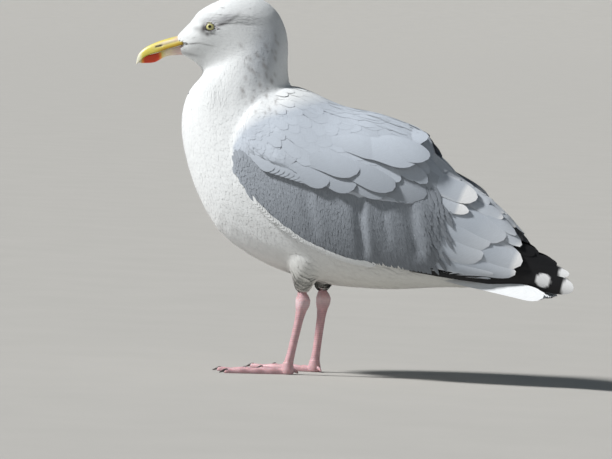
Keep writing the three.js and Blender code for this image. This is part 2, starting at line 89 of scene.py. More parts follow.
def solids(nodes):
    """The points and the triangles of each of some solids."""
    parts = []
    for node in nodes:
        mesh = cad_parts[node].data
        mesh.calc_loop_triangles()
        corner = np.empty(len(mesh.loop_triangles) * 3, int)
        mesh.loop_triangles.foreach_get("vertices", corner)
        parts.append((mesh_points(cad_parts[node]), corner.reshape(-1, 3)))
    return parts


def united(parts):
    """Several sets of points and faces as one set."""
    starts = np.cumsum([0] + [len(points) for points, _ in parts[:-1]])
    return (np.concatenate([points for points, _ in parts]),
            np.concatenate([faces + start for (_, faces), start in zip(parts, starts)]))


def fused(name, parts, grain, easing, rounds, sink=0.0):
    """One closed skin round several solids, eased over their joins and sunk inwards."""
    piece = new_piece(name, *united(parts))
    fuse = piece.modifiers.new("fuse", "REMESH")
    fuse.mode = "VOXEL"
    fuse.voxel_size = grain
    ease = piece.modifiers.new("ease", "SMOOTH")
    ease.factor = easing
    ease.iterations = rounds
    if sink:
        inwards = piece.modifiers.new("sink", "DISPLACE")
        inwards.mid_level = 0
        inwards.strength = -sink
    graph = bpy.context.evaluated_depsgraph_get()
    shape = bpy.data.meshes.new_from_object(piece.evaluated_get(graph))
    piece.modifiers.clear()
    piece.data = shape
    shape.shade_smooth()
    return piece


def linear(code):
    """A colour code such as "d9bd4a" as linear red, green, blue."""
    parts = np.array([int(code[i:i + 2], 16) / 255 for i in (0, 2, 4)])
    return np.where(parts <= 0.04045, parts / 12.92, ((parts + 0.055) / 1.055) ** 2.4)


def link(tree, node, links):
    """Joins outputs of other shader nodes to a node's inputs."""
    for key, source in links.items():
        tree.links.new(source, node.inputs[key])


def add(tree, kind, values=None, links=None, **settings):
    """Adds a shader node with its settings, its socket values and its links."""
    made = tree.nodes.new(kind)
    for key, value in settings.items():
        setattr(made, key, value)
    for key, value in (values or {}).items():
        made.inputs[key].default_value = value
    link(tree, made, links or {})
    return made


def new_material(name, values):
    """A material with the values of its surface's sockets, its node tree and its surface."""
    material = bpy.data.materials.new(name)
    material.use_nodes = True
    surface = material.node_tree.nodes["Principled BSDF"]
    for key, value in values.items():
        surface.inputs[key].default_value = value
    return material, material.node_tree, surface


def paint(piece, colours):
    """Stores one linear colour for each vertex, for the materials to read as "tint"."""
    layer = piece.data.color_attributes.new("tint", "FLOAT_COLOR", "POINT")
    rgba = np.ones((len(piece.data.vertices), 4))
    rgba[:, :3] = colours
    layer.data.foreach_set("color", rgba.ravel())


def dress(piece, material):
    """Gives a piece its material. Nothing on the gull moves, so all ride on root."""
    piece.data.materials.clear()
    piece.data.materials.append(material)
    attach(piece, "root")


# The head looks a little to its left: its axes follow from the two eyes.
left_eye, right_eye = (np.array(low + high) / 2
                       for low, high in map(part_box, ("eye_left", "eye_right")))
between_eyes = (left_eye + right_eye) / 2
across = (right_eye - left_eye) / np.linalg.norm(right_eye - left_eye)
ahead = np.cross([0, 0, 1], across)
HEAD_TURN = math.atan2(-ahead[1], -ahead[0])
NECK_AXIS = np.array([-0.1226, -0.0003])  # upright axis that the head turns about


def in_head(points):
    """How far ahead of the eyes, across and above them each point lies, in millimetres."""
    off = np.asarray(points) - between_eyes
    return np.stack([off @ ahead, off @ across, off[..., 2]], -1) / MM


# The middle line of the body from the base of the bill over the neck to the tail: ahead (-)
# or behind (+) the middle of the gull, height, and the share of the head's turn.
MIDDLE_LINE = np.array([
    [-222, 361, 1], [-206, 364, 1], [-190, 370, 1], [-172, 376, 1], [-154, 378, 1],
    [-140, 371, 1], [-134, 356, 0.8], [-135, 338, 0.55], [-138, 315, 0.3], [-136, 288, 0.1],
    [-122, 258, 0], [-96, 228, 0], [-62, 205, 0], [-22, 188, 0], [20, 170, 0], [62, 152, 0],
    [100, 135, 0], [136, 120, 0], [176, 111, 0], [236, 100, 0]])
LINE_STEPS = 90


def middle_line():
    """Fine points along the middle line, and the way on from each."""
    whole = np.arange(len(MIDDLE_LINE))
    fine = np.linspace(0, whole[-1], LINE_STEPS)
    x, z, share = (np.interp(fine, whole, MIDDLE_LINE[:, i]) for i in range(3))
    turn = share * HEAD_TURN
    x, z = x * MM - NECK_AXIS[0], z * MM
    line = np.stack([NECK_AXIS[0] + x * np.cos(turn), NECK_AXIS[1] + x * np.sin(turn), z], -1)
    for _ in range(4):  # evened out
        line[1:-1] = (line[:-2] + 2 * line[1:-1] + line[2:]) / 4
    way = np.gradient(line, axis=0)
    return line, way / np.linalg.norm(way, axis=1, keepdims=True)


line_points, line_ways = middle_line()
AT_ONCE = 4000  # points worked out together


def along_body(points):
    """For each point: its place from bill (0) to tail (1), the angle round the middle line
    from the back (0) to the belly (pi), and the way that the plumage lies there."""
    places, angles, ways = [], [], []
    for some in np.array_split(np.asarray(points, float), max(1, len(points) // AT_ONCE)):
        off = some[:, None] - line_points[None]
        weight = 1 / (np.einsum("ijk,ijk->ij", off, off) + 1e-6) ** 2
        weight /= weight.sum(1, keepdims=True)
        place = weight @ np.linspace(0, 1, len(line_points))
        way = weight @ line_ways
        way /= np.linalg.norm(way, axis=1, keepdims=True)
        out = some - weight @ line_points
        out -= way * np.einsum("ij,ij->i", out, way)[:, None]
        side = np.cross(way, [0, 0, 1])
        side /= np.linalg.norm(side, axis=1, keepdims=True) + 1e-9
        top = np.cross(side, way)
        angle = np.arctan2(np.einsum("ij,ij->i", out, side), np.einsum("ij,ij->i", out, top))
        places.append(place)
        angles.append(angle)
        ways.append(way)
    return np.concatenate(places), np.concatenate(angles), np.concatenate(ways)


# Where the grey of the back and wings begins, seen from the side: the edge in front, as
# distances behind the gull's middle at heights, and the edge below, as heights at distances.
GREY_FRONT = np.array([
    [200, -105], [226, -124], [252, -130], [270, -122], [284, -104], [294, -84], [302, -66],
    [308, -50], [316, -36]])
GREY_BELOW = np.array([
    [-124, 226], [-105, 200], [-75, 174], [-37, 151], [9, 135], [67, 129], [127, 122], [280, 100]])
# The front edge is sharp below and melts into the white at the nape: heights and breadths.
FRONT_BLEND = [[255, 285, 300], [3, 26, 48]]
BELOW_BLEND = 3


def wing_edge(x):
    """Heights of the grey's lower edge, in millimetres."""
    return np.interp(x, GREY_BELOW[:, 0], GREY_BELOW[:, 1])


def grey_share(points):
    """1 where the plumage is grey, 0 where it is white."""
    x, z = points[:, 0] / MM, points[:, 2] / MM
    behind = x - np.interp(z, GREY_FRONT[:, 0], GREY_FRONT[:, 1])
    above = z - wing_edge(x)
    past_edge = np.minimum(behind / np.interp(z, *FRONT_BLEND), above / BELOW_BLEND)
    return np.clip(past_edge + 0.5, 0, 1)


WHITE = linear("e6e9eb")
BELLY_PAINTED_SHADE = linear("c9c6bb")  # painted shade: the belly's white, darker and warmer below, where it lies in shade
PAINTED_SHADE_BELOW, PAINTED_SHADE_OVER, PAINTED_SHADE_MOST = 150, 45, 0.6  # height, blend, greatest share
GREY = linear("bac2cd")
EYE_DUSK_AND_SHADOW = linear("3c3738")  # the dusky marks round the eye, and painted shadow behind the eye, at the gape and under the chin
BROW_PAINTED_SHADE = linear("8f8c98")  # painted shade: the lilac-grey shade of the brow over the eye marks
NAPE_DUSK_AND_SHADE = linear("868f9c")  # the cool grey wash of the hind neck: partly its dusky winter tone, partly painted shade
FLECK = linear("858180")  # winter flecks on the hind neck

# Marks of the head, some dusky plumage and some painted shadow: ahead of the eye, above it, half
# length, half height, tilt in degrees, strength. The same on both sides. Round the eye, the first
# four are the dusky smudge before and under it; the three behind it are painted shadow under the
# brow; the last three are painted shadow along the gape's crease and under the chin's edge.
EYE_MARKS = [
    [7.4, -1.2, 3.7, 6.4, 8, 1.0], [3.2, -7.6, 3.0, 2.6, 20, 0.75], [14.5, -2, 6.0, 3.0, 8, 0.38],
    [-1.6, -7.0, 5.0, 1.2, 4, 0.6], [-12, 3.8, 6.8, 1.5, -15, 0.95],
    [-22, 9.2, 6.5, 1.4, -34, 0.62], [-30, 15.4, 5.0, 1.8, -38, 0.3],
    [18.5, -18.8, 8.5, 0.8, -7, 0.75], [3, -19.6, 9.0, 0.8, 8, 0.45], [21, -31.5, 9.0, 1.8, 8, 0.35]]
# Painted shade of the brow over and behind the eye.
BROW_PAINTED_SHADE_MARKS = [[-16, 9.5, 11, 4.2, -28, 0.36], [1, 8.4, 6, 2.0, 0, 0.35], [-38, 6, 12, 7, -20, 0.12]]
# The hind neck's wash is partly dusky winter plumage and partly painted shade.
NAPE_DUSK_AND_SHADE_MARKS = [[-62, -24, 18, 46, 12, 0.62]]
NECK_FLECKS = [
    [-62, -40, 3.6, 1.9, 60, 0.75], [-49, -46, 3.4, 1.6, 60, 0.7], [-39, -69, 3.4, 1.8, 65, 0.75],
    [-35, -19, 4.2, 1.6, 50, 0.4], [-71, -57, 3.4, 1.8, 70, 0.7], [-54, -29, 4, 1.8, 55, 0.6],
    [-58, -62, 3.2, 1.8, 65, 0.7], [-46, -33, 3.4, 1.5, 55, 0.5], [-66, -74, 3, 1.8, 70, 0.6],
    [-50, -80, 3.4, 1.8, 70, 0.55], [-63, -18, 3.4, 1.6, 60, 0.5], [-42, -55, 3, 1.5, 60, 0.5],
    [-74, -32, 3.4, 1.5, 70, 0.5], [-56, -8, 3.2, 1.5, 50, 0.35], [-70, -88, 3.2, 1.6, 70, 0.5]]
NECK_FLECKS += [[chance.uniform(-80, -38), chance.uniform(-94, -6), 2.6, 1.2, 64, 0.45]
                for _ in range(30)]
MARKINGS = ((NAPE_DUSK_AND_SHADE_MARKS, NAPE_DUSK_AND_SHADE), (BROW_PAINTED_SHADE_MARKS, BROW_PAINTED_SHADE), (NECK_FLECKS, FLECK), (EYE_MARKS, EYE_DUSK_AND_SHADOW))


def plumage_colour(places):
    """The colour of the coat, and of the hide under it, at each place, with painted shade below, on
    the hind neck, on the brow and round the eye.
    """
    points = places.reshape(-1, 3)
    share = grey_share(points)[:, None]
    # Painted shade: the white is darkened and warmed towards the bottom of the body.
    under = np.clip((PAINTED_SHADE_BELOW - points[:, 2:] / MM) / PAINTED_SHADE_OVER, 0, 1) * PAINTED_SHADE_MOST
    colour = (WHITE * (1 - under) + BELLY_PAINTED_SHADE * under) * (1 - share) + GREY * share
    head = in_head(points)
    for marks, ink in MARKINGS:
        for forward, up, length, height, tilt, strength in marks:
            turn = math.radians(tilt)
            dx, dz = head[:, 0] - forward, head[:, 2] - up
            near = (dx * math.cos(turn) + dz * math.sin(turn)) / length
            off = (dz * math.cos(turn) - dx * math.sin(turn)) / height
            amount = strength * np.exp(-(near ** 2 + off ** 2))[:, None]
            colour = colour * (1 - amount) + ink * amount
    return colour.reshape(places.shape)


# The form that the whole plumage fills.
form = fused("form", solids(PLUMED), SKIN_GRAIN, SKIN_EASING, rounds=14)
form_points = mesh_points(form)
form_quads = np.array([list(face.vertices) for face in form.data.polygons])
form_normals = np.empty(len(form_points) * 3)
form.data.vertex_normals.foreach_get("vector", form_normals)
form_normals = form_normals.reshape(-1, 3)
bpy.data.objects.remove(form)

hide = fused("hide", solids(FLESH), SKIN_GRAIN, SKIN_EASING, rounds=10, sink=COAT_DEPTH)

# Tanned bird skin: matt and faintly creased, the creases about 1.5 mm apart. Its colours are
# laid on once the bare legs are part of it.
skin_matt, tree, surface = new_material("bird_skin_matt", {"Roughness": 0.75})
tint = add(tree, "ShaderNodeAttribute", attribute_name="tint")
where = add(tree, "ShaderNodeTexCoord")
crease = add(tree, "ShaderNodeTexNoise", {"Scale": 1 / (1.5 * MM), "Detail": 2.0},
             {"Vector": where.outputs["Object"]})
bump = add(tree, "ShaderNodeBump", {"Strength": 0.3, "Distance": 0.4 * MM},
           {"Height": crease.outputs["Fac"]})
link(tree, surface, {"Base Color": tint.outputs["Color"], "Normal": bump.outputs["Normal"]})

dress(hide, skin_matt)  # all that shows of the skin is the bare legs
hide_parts("trunk", "neck", "head", "thigh_left", "thigh_right",
            "wing_left", "wing_right", "scapulars_left", "scapulars_right")

# ---------------------------------------------------------------- white contour feathers
# Small soft feathers cover the head, neck, breast, flanks and belly. Each is a thin downy vane
# of keratin rooted in the hide, and lies on the ones behind it like a tile.

# Outlines of vanes: half width at the root, where the vane is full, where its tip begins and
# how long the tip is. All are shares of the greatest half width or of the length.
VANE_ENDS = {"soft": (0.35, 0.55, 0.55, 0.46), "broad": (0.5, 0.4, 0.68, 0.325),
             "long": (0.6, 0.4, 0.86, 0.142)}


def vane_width(end, t):
    """Half width from a vane's root (0) to its tip (1), as a share of the greatest."""
    root, full, tip, tip_length = VANE_ENDS[end]
    swell = root + (1 - root) * np.sin(np.minimum(t / full, 1) * math.pi / 2)
    return swell * np.sqrt(np.clip(1 - (np.maximum(t - tip, 0) / tip_length) ** 2, 0.004, 1))


def unit(vectors):
    """Directions with a length of one."""
    return vectors / (np.linalg.norm(vectors, axis=-1, keepdims=True) + 1e-12)


faces_round = np.bincount(form_quads.ravel(), minlength=len(form_points))[:, None]


def evened(values):
    """The form's points or outward directions, each as the mean over the faces round it."""
    middle = np.repeat(values[form_quads].mean(1), 4, axis=0)
    return np.stack([np.bincount(form_quads.ravel(), middle[:, i], len(values))
                     for i in range(3)], -1) / faces_round


def softened(normals, rounds):
    """Outward directions evened out over their neighbours."""
    for _ in range(rounds):
        normals = unit(evened(normals))
    return normals


# Down fills the hollow where the breast meets the front of the folded wing, and the thighs sink
# into the down of the flanks. Of each: distance behind the gull's middle, height, how far it
# reaches along and up, and how much it is filled.
THIGH_AT = (-46, 116)
HOLLOWS = [((-116, 258), (15, 24), 1.0), (THIGH_AT, (30, 12), 0.6)]
FILLING_ROUNDS, SOFT_ROUNDS = 60, 30
filled = np.zeros((len(form_points), 1))
for at, size, amount in HOLLOWS:
    off = (form_points[:, ::2] / MM - at) / size
    filled = np.maximum(filled, amount * np.exp(-(off ** 2).sum(1, keepdims=True)))
for _ in range(FILLING_ROUNDS):
    form_points = form_points * (1 - filled) + evened(form_points) * filled
form_normals = unit(form_normals * (1 - filled) + softened(form_normals, SOFT_ROUNDS) * filled)
form_tree = BVHTree.FromPolygons(form_points.tolist(), form_quads.tolist())

# The down of the belly and thighs runs together: its shading is soft there.
DOWNY_BELOW, DOWNY_OVER, DOWNY = 142, 24, 0.9  # height, blend, greatest share
DOWNY_ROUNDS = 90
downy = np.clip((DOWNY_BELOW - form_points[:, 2:] / MM) / DOWNY_OVER, 0, 1) * DOWNY
form_normals = unit(form_normals * (1 - downy) + softened(form_normals, DOWNY_ROUNDS) * downy)


def snapped(points):
    """The nearest places on the plumage's outline, and its outward directions there."""
    found = [form_tree.find_nearest(p) for p in points.reshape(-1, 3).tolist()]
    place = np.array([tuple(f[0]) for f in found])
    corners = form_quads[[f[2] for f in found]]
    gap = np.linalg.norm(form_points[corners] - place[:, None], axis=2)
    out = unit(np.einsum("ij,ijk->ik", 1 / (gap + 0.1 * MM), form_normals[corners]))
    return place.reshape(points.shape), out.reshape(points.shape)


def vane_faces(rows, cols):
    """Faces of one closed vane: an upper grid, a lower grid that shares its two edges."""
    upper = np.arange(rows * cols).reshape(rows, cols)
    lower = upper.copy()
    lower[:, 1:-1] = rows * cols + np.arange(rows * (cols - 2)).reshape(rows, cols - 2)
    faces = []
    for r in range(rows - 1):
        for c in range(cols - 1):
            faces.append([upper[r, c], upper[r, c + 1], upper[r + 1, c + 1], upper[r + 1, c]])
            faces.append([lower[r, c], lower[r + 1, c], lower[r + 1, c + 1], lower[r, c + 1]])
    for r, turn in ((0, 1), (rows - 1, -1)):
        for c in range(cols - 1):
            ring = [upper[r, c], lower[r, c], lower[r, c + 1], upper[r, c + 1]][::turn]
            if c in (0, cols - 2):  # at the vane's edges the end face is a triangle
                ring = list(dict.fromkeys(ring))
                double = 0 if c == 0 else 2
                ring.insert(double, ring[double])
            faces.append(ring)
    return np.array(faces)[:, ::-1]


def vanes(centre, out, half, rise, cols, end, thick, dish, settle=None, tilt=0.0, soft=1.0):
    """Points, shading directions and barb coordinates of vanes. centre and out are (vane, row,
    3); half is the greatest half width; rise is (vane, row); dish is how far the edges bend
    down and tilt how far one edge lies higher, as shares of the half width; settle brings each
    column back onto a face; soft is how much of the vane's own slope its shading shows."""
    count, rows = centre.shape[:2]
    t = row_steps(rows)
    way = unit(np.gradient(centre, axis=1))
    side = unit(np.cross(out, way))
    width = half[:, None] * vane_width(end, t)[None]
    s = np.linspace(-1, 1, cols)
    reach = width[:, :, None] * s[None, None]
    spot = centre[:, :, None] + side[:, :, None] * reach[..., None]
    normal = np.repeat(out[:, :, None], cols, 2)
    if settle:
        spot, normal = settle(spot)
    tilt = np.broadcast_to(tilt, (count, rows, 1))
    lift = rise[:, :, None] + width[:, :, None] * (tilt * s - dish * s ** 2)
    upper = spot + normal * (lift + thick * (1 - s ** 2) / 2)[..., None]
    lower = spot + normal * (lift - thick * (1 - s ** 2) / 2)[..., None]
    slope = np.gradient(rise, axis=1) / (np.linalg.norm(np.gradient(centre, axis=1), axis=2))
    face = unit(normal + soft * (side[:, :, None] * (2 * dish * s - tilt)[..., None]
                                 - way[:, :, None] * slope[:, :, None, None]))
    length = np.linalg.norm(np.diff(centre, axis=1), axis=2).sum(1)
    uv = np.stack([reach, np.broadcast_to((length[:, None] * t)[:, :, None], reach.shape)], -1)

    def joined(top, below):
        return np.concatenate([top.reshape(count, rows * cols, -1),
                               below[:, :, 1:-1].reshape(count, rows * (cols - 2), -1)], 1)

    return joined(upper, lower), joined(face, -face), joined(uv, uv) / MM


def row_steps(rows):
    """Places of the cross rows along a vane, closer together towards the tip."""
    return np.linspace(0, 1, rows) ** 0.8


def walked(root, way, length, rows):
    """Centre lines that start at root and follow the outline for a length."""
    place, out = snapped(root)
    lines, outs = [place], [out]
    way = unit(way - out * np.einsum("ij,ij->i", way, out)[:, None])
    for step in np.diff(row_steps(rows)):
        place, out = snapped(place + way * (length * step)[:, None])
        way = unit(way - out * np.einsum("ij,ij->i", way, out)[:, None])
        lines.append(place)
        outs.append(out)
    return np.stack(lines, 1), np.stack(outs, 1)


PATCH = 0.003  # width of one feather's patch on the unwrap


def feather_piece(name, vane, tint, rows, cols):
    """Joins vanes into one mesh with its soft shading, barb map, colours and unwrap."""
    points, face, uv = vane
    count, corners = points.shape[:2]
    faces = vane_faces(rows, cols)[None] + (np.arange(count) * corners)[:, None, None]
    piece = new_piece(name, points.reshape(-1, 3), faces.reshape(-1, 4))
    mesh = piece.data
    corner = np.empty(len(mesh.loops), int)
    mesh.loops.foreach_get("vertex_index", corner)
    barbs = mesh.uv_layers.new(name="barbs", do_init=False)
    barbs.uv.foreach_set("vector", uv.reshape(-1, 2)[corner].ravel())
    place, angle, _ = along_body(points[:, 0])
    root = np.stack([0.02 + 0.96 * place, 0.5 + 0.48 * angle / math.pi], -1)
    low, high = uv.min(1, keepdims=True), uv.max(1, keepdims=True)
    patch = root[:, None] + (uv - low) / (high - low + 1e-9) * PATCH
    unwrap = mesh.uv_layers.new(name="OFBake", do_init=False)
    unwrap.uv.foreach_set("vector", patch.reshape(-1, 2)[corner].ravel())
    paint(piece, tint.reshape(-1, 3))
    mesh.normals_split_custom_set_from_vertices(face.reshape(-1, 3))
    return piece


def plumage_material(name, spacing, lean, depth, rough, sheen):
    """Keratin barbs side by side, leaning from the shaft by some degrees, drawn as ridges with
    a spacing and a depth in millimetres."""
    material, tree, surface = new_material(name, {
        "Roughness": rough, "IOR": 1.54, "Specular IOR Level": 0.25, "Sheen Weight": sheen,
        "Sheen Roughness": 0.5})
    tint = add(tree, "ShaderNodeAttribute", attribute_name="tint")
    barbs = add(tree, "ShaderNodeUVMap", uv_map="barbs")
    split = add(tree, "ShaderNodeSeparateXYZ", links={"Vector": barbs.outputs["UV"]})
    off = add(tree, "ShaderNodeMath", links={0: split.outputs["X"]}, operation="ABSOLUTE")
    pair = add(tree, "ShaderNodeCombineXYZ", links={"X": off.outputs[0], "Y": split.outputs["Y"]})
    turn = add(tree, "ShaderNodeVectorRotate", {"Angle": -math.radians(lean)},
               {"Vector": pair.outputs[0]}, rotation_type="Z_AXIS")
    grain = add(tree, "ShaderNodeVectorMath", {1: (1 / spacing, 0.12 / spacing, 1)},
                {0: turn.outputs[0]}, operation="MULTIPLY")
    fibre = add(tree, "ShaderNodeTexNoise", {"Scale": 1.0, "Detail": 3.0, "Roughness": 0.6},
                {"Vector": grain.outputs[0]})
    shade = add(tree, "ShaderNodeMapRange", {"To Min": 0.86, "To Max": 1.08},
                {"Value": fibre.outputs["Fac"]})
    toned = add(tree, "ShaderNodeVectorMath",
                links={0: tint.outputs["Color"], "Scale": shade.outputs[0]}, operation="SCALE")
    bump = add(tree, "ShaderNodeBump", {"Strength": 0.6, "Distance": depth * MM},
               {"Height": fibre.outputs["Fac"]})
    link(tree, surface, {"Base Color": toned.outputs[0], "Normal": bump.outputs["Normal"]})
    return material


# White feathers: matt, soft at grazing light. Their loose barbs lie almost along the shaft,
# 0.3 mm apart, and are drawn 0.8 mm apart so that they show.
white_feather = plumage_material("white_contour_feather", spacing=0.8, lean=12, depth=0.07,
                                 rough=0.85, sheen=0.2)

REACH_STOPS = np.array([  # place along the body, feather length in millimetres
    [0.0, 3.2], [0.05, 3.6], [0.12, 5.0], [0.22, 6.5], [0.32, 9], [0.42, 12], [0.55, 15],
    [0.7, 17], [0.85, 19], [1.0, 20]])
WIDTH_SHARE = 0.4  # of the length
OVERLAP = 6.4  # feathers that lie over each place
EYE_CLEAR = 6.6 * MM  # the feathers stop at the lids
LIDS_LONGER = [1, 1, 1.18]  # the lids are this much longer than high
FINEST, FINER = 2.4 * MM, 0.45  # length at the lids, and how fast it grows from there
# They leave the horn bare at the base of the bill: heights above the eyes and how far ahead of
# them the horn begins there.
HORN_FROM = np.array([[-33, 42], [-31, 37.7], [-24.5, 33.2], [-20.4, 25.5], [-19.2, 24.5],
                      [-18.6, 26.5], [-16.6, 36.5], [-10.6, 40]])
HORN_TOP = -14
TAIL_COVER = 165 * MM  # the feathers reach this far under the tail


def scattered(points, spacing):
    """One random point from each cell of a loose grid whose cells follow the spacing."""
    level = np.round(np.log2(spacing / spacing.min()) * 2)
    cell = spacing.min() * 2 ** (level / 2)
    key = np.floor(points / cell[:, None]).astype(np.int64)
    code = ((level.astype(np.int64) * 4096 + key[:, 0]) * 4096 + key[:, 1]) * 4096 + key[:, 2]
    order = chance.permutation(len(points))
    _, first = np.unique(code[order], return_index=True)
    return order[first]


def surface_points(count):
    """Random points all over the plumage's outline."""
    a, b, c = (form_points[form_quads[:, i]] for i in (0, 1, 2))
    d = form_points[form_quads[:, 3]]
    area = np.linalg.norm(np.cross(c - a, d - b), axis=1)
    pick = chance.choice(len(form_quads), count, p=area / area.sum())
    u, v = chance.random((2, count, 1))
    return (a[pick] * (1 - u) + b[pick] * u) * (1 - v) + (d[pick] * (1 - u) + c[pick] * u) * v


# The hide of the thighs stays well under the outline of the feathers that cover it.
THIGH_REACH, THIGH_SINK = (60, 26), 1.0 * MM
hide_points = mesh_points(hide)
low = np.flatnonzero((np.abs(hide_points[:, ::2] / MM - THIGH_AT) < THIGH_REACH).all(1))
place, out = snapped(hide_points[low])
above = ((hide_points[low] - place) * out).sum(1) > -THIGH_SINK
hide_points[low[above]] = (place - THIGH_SINK * out)[above]
hide.data.vertices.foreach_set("co", hide_points.ravel())

# Each vane is cut a little wider or longer than the next one and turned a few degrees.
COAT_ROWS, COAT_COLS = 5, 3
SHORTEST = 1.6 * MM
SPOTS_TRIED = 300000
spots = surface_points(SPOTS_TRIED)
place = along_body(spots)[0]
reach = np.interp(place, REACH_STOPS[:, 0], REACH_STOPS[:, 1]) * MM
eye_gap = np.minimum(*[np.linalg.norm((spots - eye) * LIDS_LONGER, axis=1)
                       for eye in (left_eye, right_eye)])
reach = np.minimum(reach, FINEST + FINER * (eye_gap - EYE_CLEAR))
head = in_head(spots)
bare = ((head[:, 0] > np.interp(head[:, 2], HORN_FROM[:, 0], HORN_FROM[:, 1]))
        & (head[:, 2] < HORN_TOP))
keep = (grey_share(spots) < 0.5) & (eye_gap > EYE_CLEAR) & (spots[:, 0] < TAIL_COVER) & ~bare
spots, reach, eye_gap = spots[keep], reach[keep], eye_gap[keep]
chosen = scattered(spots, reach * math.sqrt(WIDTH_SHARE / OVERLAP))
spots, reach, eye_gap = spots[chosen], reach[chosen], eye_gap[chosen]
place, _, lie = along_body(spots)
lie += chance.normal(0, 0.07, lie.shape)
length = reach * chance.uniform(0.85, 1.2, len(spots))
length = np.minimum(length, np.maximum(eye_gap - EYE_CLEAR + 1.0 * MM, SHORTEST))
centre, out = walked(spots, lie, length, COAT_ROWS)
half = length * WIDTH_SHARE / 2 * chance.uniform(0.85, 1.2, len(spots))
on_head = np.clip((0.3 - place) / 0.1, 0, 1)  # there the roots lie less deep
tip_rise = (0.02 + 0.007 * length / MM) * MM * chance.uniform(0.5, 1.4, len(spots))
start = (-0.3 + 0.18 * on_head)[:, None] * MM
rise = start + (tip_rise[:, None] - start) * row_steps(COAT_ROWS)[None]
# They are fluffed up over the crown and at the front of the neck.
CROWN_FLUFF, THROAT_FLUFF = 3.0 * MM, 3.4 * MM
head, body = in_head(centre), centre / MM
crown = np.clip((head[..., 2] - 5) / 10, 0, 1) * np.clip((38 - head[..., 0]) / 10, 0, 1)
crown *= np.clip((head[..., 0] + 72) / 25, 0, 1)
throat = np.exp(-((body[..., 0] + 167) / 15) ** 2 - ((body[..., 2] - 306) / 17) ** 2)
rise += CROWN_FLUFF * crown + THROAT_FLUFF * throat
points, face, uv = vanes(centre, out, half, rise, COAT_COLS, "soft", thick=0.07 * MM, dish=0.06,
                         soft=0.25)
uv += chance.uniform(0, 400, (len(spots), 1, 1)) * [0, 1]  # no two show the same barbs
shade = chance.normal(1, 0.012, (len(spots), 1, 1))
tint = plumage_colour(points) * shade
# The coat is in five pieces, each from one place along the body to the next.
COAT_PARTS = {"coat_face": (0, 0.15), "coat_head": (0.15, 0.26), "coat_neck": (0.26, 0.42),
              "coat_breast": (0.42, 0.6), "coat_belly": (0.6, 1)}
for name, (start, end) in COAT_PARTS.items():
    here = (place >= start) & (place < end)
    vane = (points[here], face[here], uv[here])
    piece = feather_piece(name, vane, tint[here], COAT_ROWS, COAT_COLS)
    dress(piece, white_feather)

# ---------------------------------------------------------------- grey back and wing coverts
# The back, shoulders and folded wings wear broad grey feathers. They lie like tiles: small ones
# on the back, long shoulder feathers over the wing, and below them coverts whose fine barbs
# hang straight down over the long feathers of the arm.

LEFT, RIGHT = -1, 1
SIDES = (("left", LEFT), ("right", RIGHT))
SHOULDER_RISE = 6  # the shoulder feathers lie this many millimetres outside the wing

# Upright sections of the folded wings' outer face: distance behind the gull's middle, top,
# level of the greatest width, bottom, half width there, all in millimetres.
WING_SECTIONS = np.array([
    [-140.6, 322, 240, 120, 52], [-117.6, 320, 230, 110, 63], [-72.6, 315, 218, 98, 69.5],
    [-22.6, 297, 200, 88, 70.5], [27.4, 288, 182, 84, 66.5], [77.4, 270, 164, 88, 57],
    [117.4, 240, 148, 92, 46], [157.4, 210, 134, 94, 35], [197.4, 173, 124, 94, 25],
    [237.4, 143, 116, 92, 16], [267.4, 126, 110, 90, 11]])

# Soft folds that run down the coverts: upper end, lower end, half breadth, depth.
FOLDS = [[20, 206, 27, 146, 6, 2.8], [75, 198, 87, 148, 8, 2.6], [-40, 208, -30, 165, 7, 0.9],
         [46, 200, 54, 160, 5, 0.8]]


def eased(values, count):
    """Smooth values between stations."""
    place = np.linspace(0, len(values) - 1, count)
    i = np.minimum(place.astype(int), len(values) - 2)
    t = (place - i)[:, None]
    padded = np.concatenate([[2 * values[0] - values[1]], values, [2 * values[-1] - values[-2]]])
    p0, p1, p2, p3 = (padded[i + k] for k in range(4))
    return 0.5 * (2 * p1 + (p2 - p0) * t + (2 * p0 - 5 * p1 + 4 * p2 - p3) * t ** 2
                  + (3 * p1 - p0 - 3 * p2 + p3) * t ** 3)


wing_rows = eased(WING_SECTIONS, 240)


def wing_section(x, top=None):
    """Top, level of the greatest width, bottom and half width of the wing at distances behind
    the middle. Another line of tops may take the place of the wing's own."""
    high, *others = (np.interp(x, wing_rows[:, 0], wing_rows[:, i]) for i in (1, 2, 3, 4))
    return (high if top is None else np.interp(x, *top), *others)


def fold_depth(x, z):
    """How far the folds sink into the coverts: each is a groove beside a lower swell."""
    depth = 0
    for top_x, top_z, low_x, low_z, breadth, deep in FOLDS:
        middle = np.interp(z, [low_z, top_z], [low_x, top_x])
        fade = np.clip((z - low_z + 16) / 16, 0, 1) * np.clip((top_z + 8 - z) / 18, 0, 1)
        step = (x - middle) / breadth
        depth = depth + fade * deep * (np.exp(-step ** 2) - 0.5 * np.exp(-(step - 1.7) ** 2))
    return depth


def wing_face(x, angle, lift, folds, top=None):
    """Points of the outer face at distances behind the middle and angles from the top, in
    millimetres. The face lies lift outside the wing, and folds is how much the folds show."""
    high, level, low, half = wing_section(x, top)
    rise = np.cos(angle)
    z = level + rise * np.where(rise > 0, high + lift - level, level - low)
    y = np.sin(angle) * (half + lift - folds * fold_depth(x, z))
    return np.stack([x, y, z], -1)


def on_wing(x, angle, lift=0.0, folds=0.0, top=None):
    """Places on the outer face in metres, and its outward directions there."""
    face = (lift, folds, top)
    along = wing_face(x + 0.5, angle, *face) - wing_face(x - 0.5, angle, *face)
    round_it = wing_face(x, angle + 0.01, *face) - wing_face(x, angle - 0.01, *face)
    return wing_face(x, angle, *face) * MM, unit(np.cross(along, round_it))


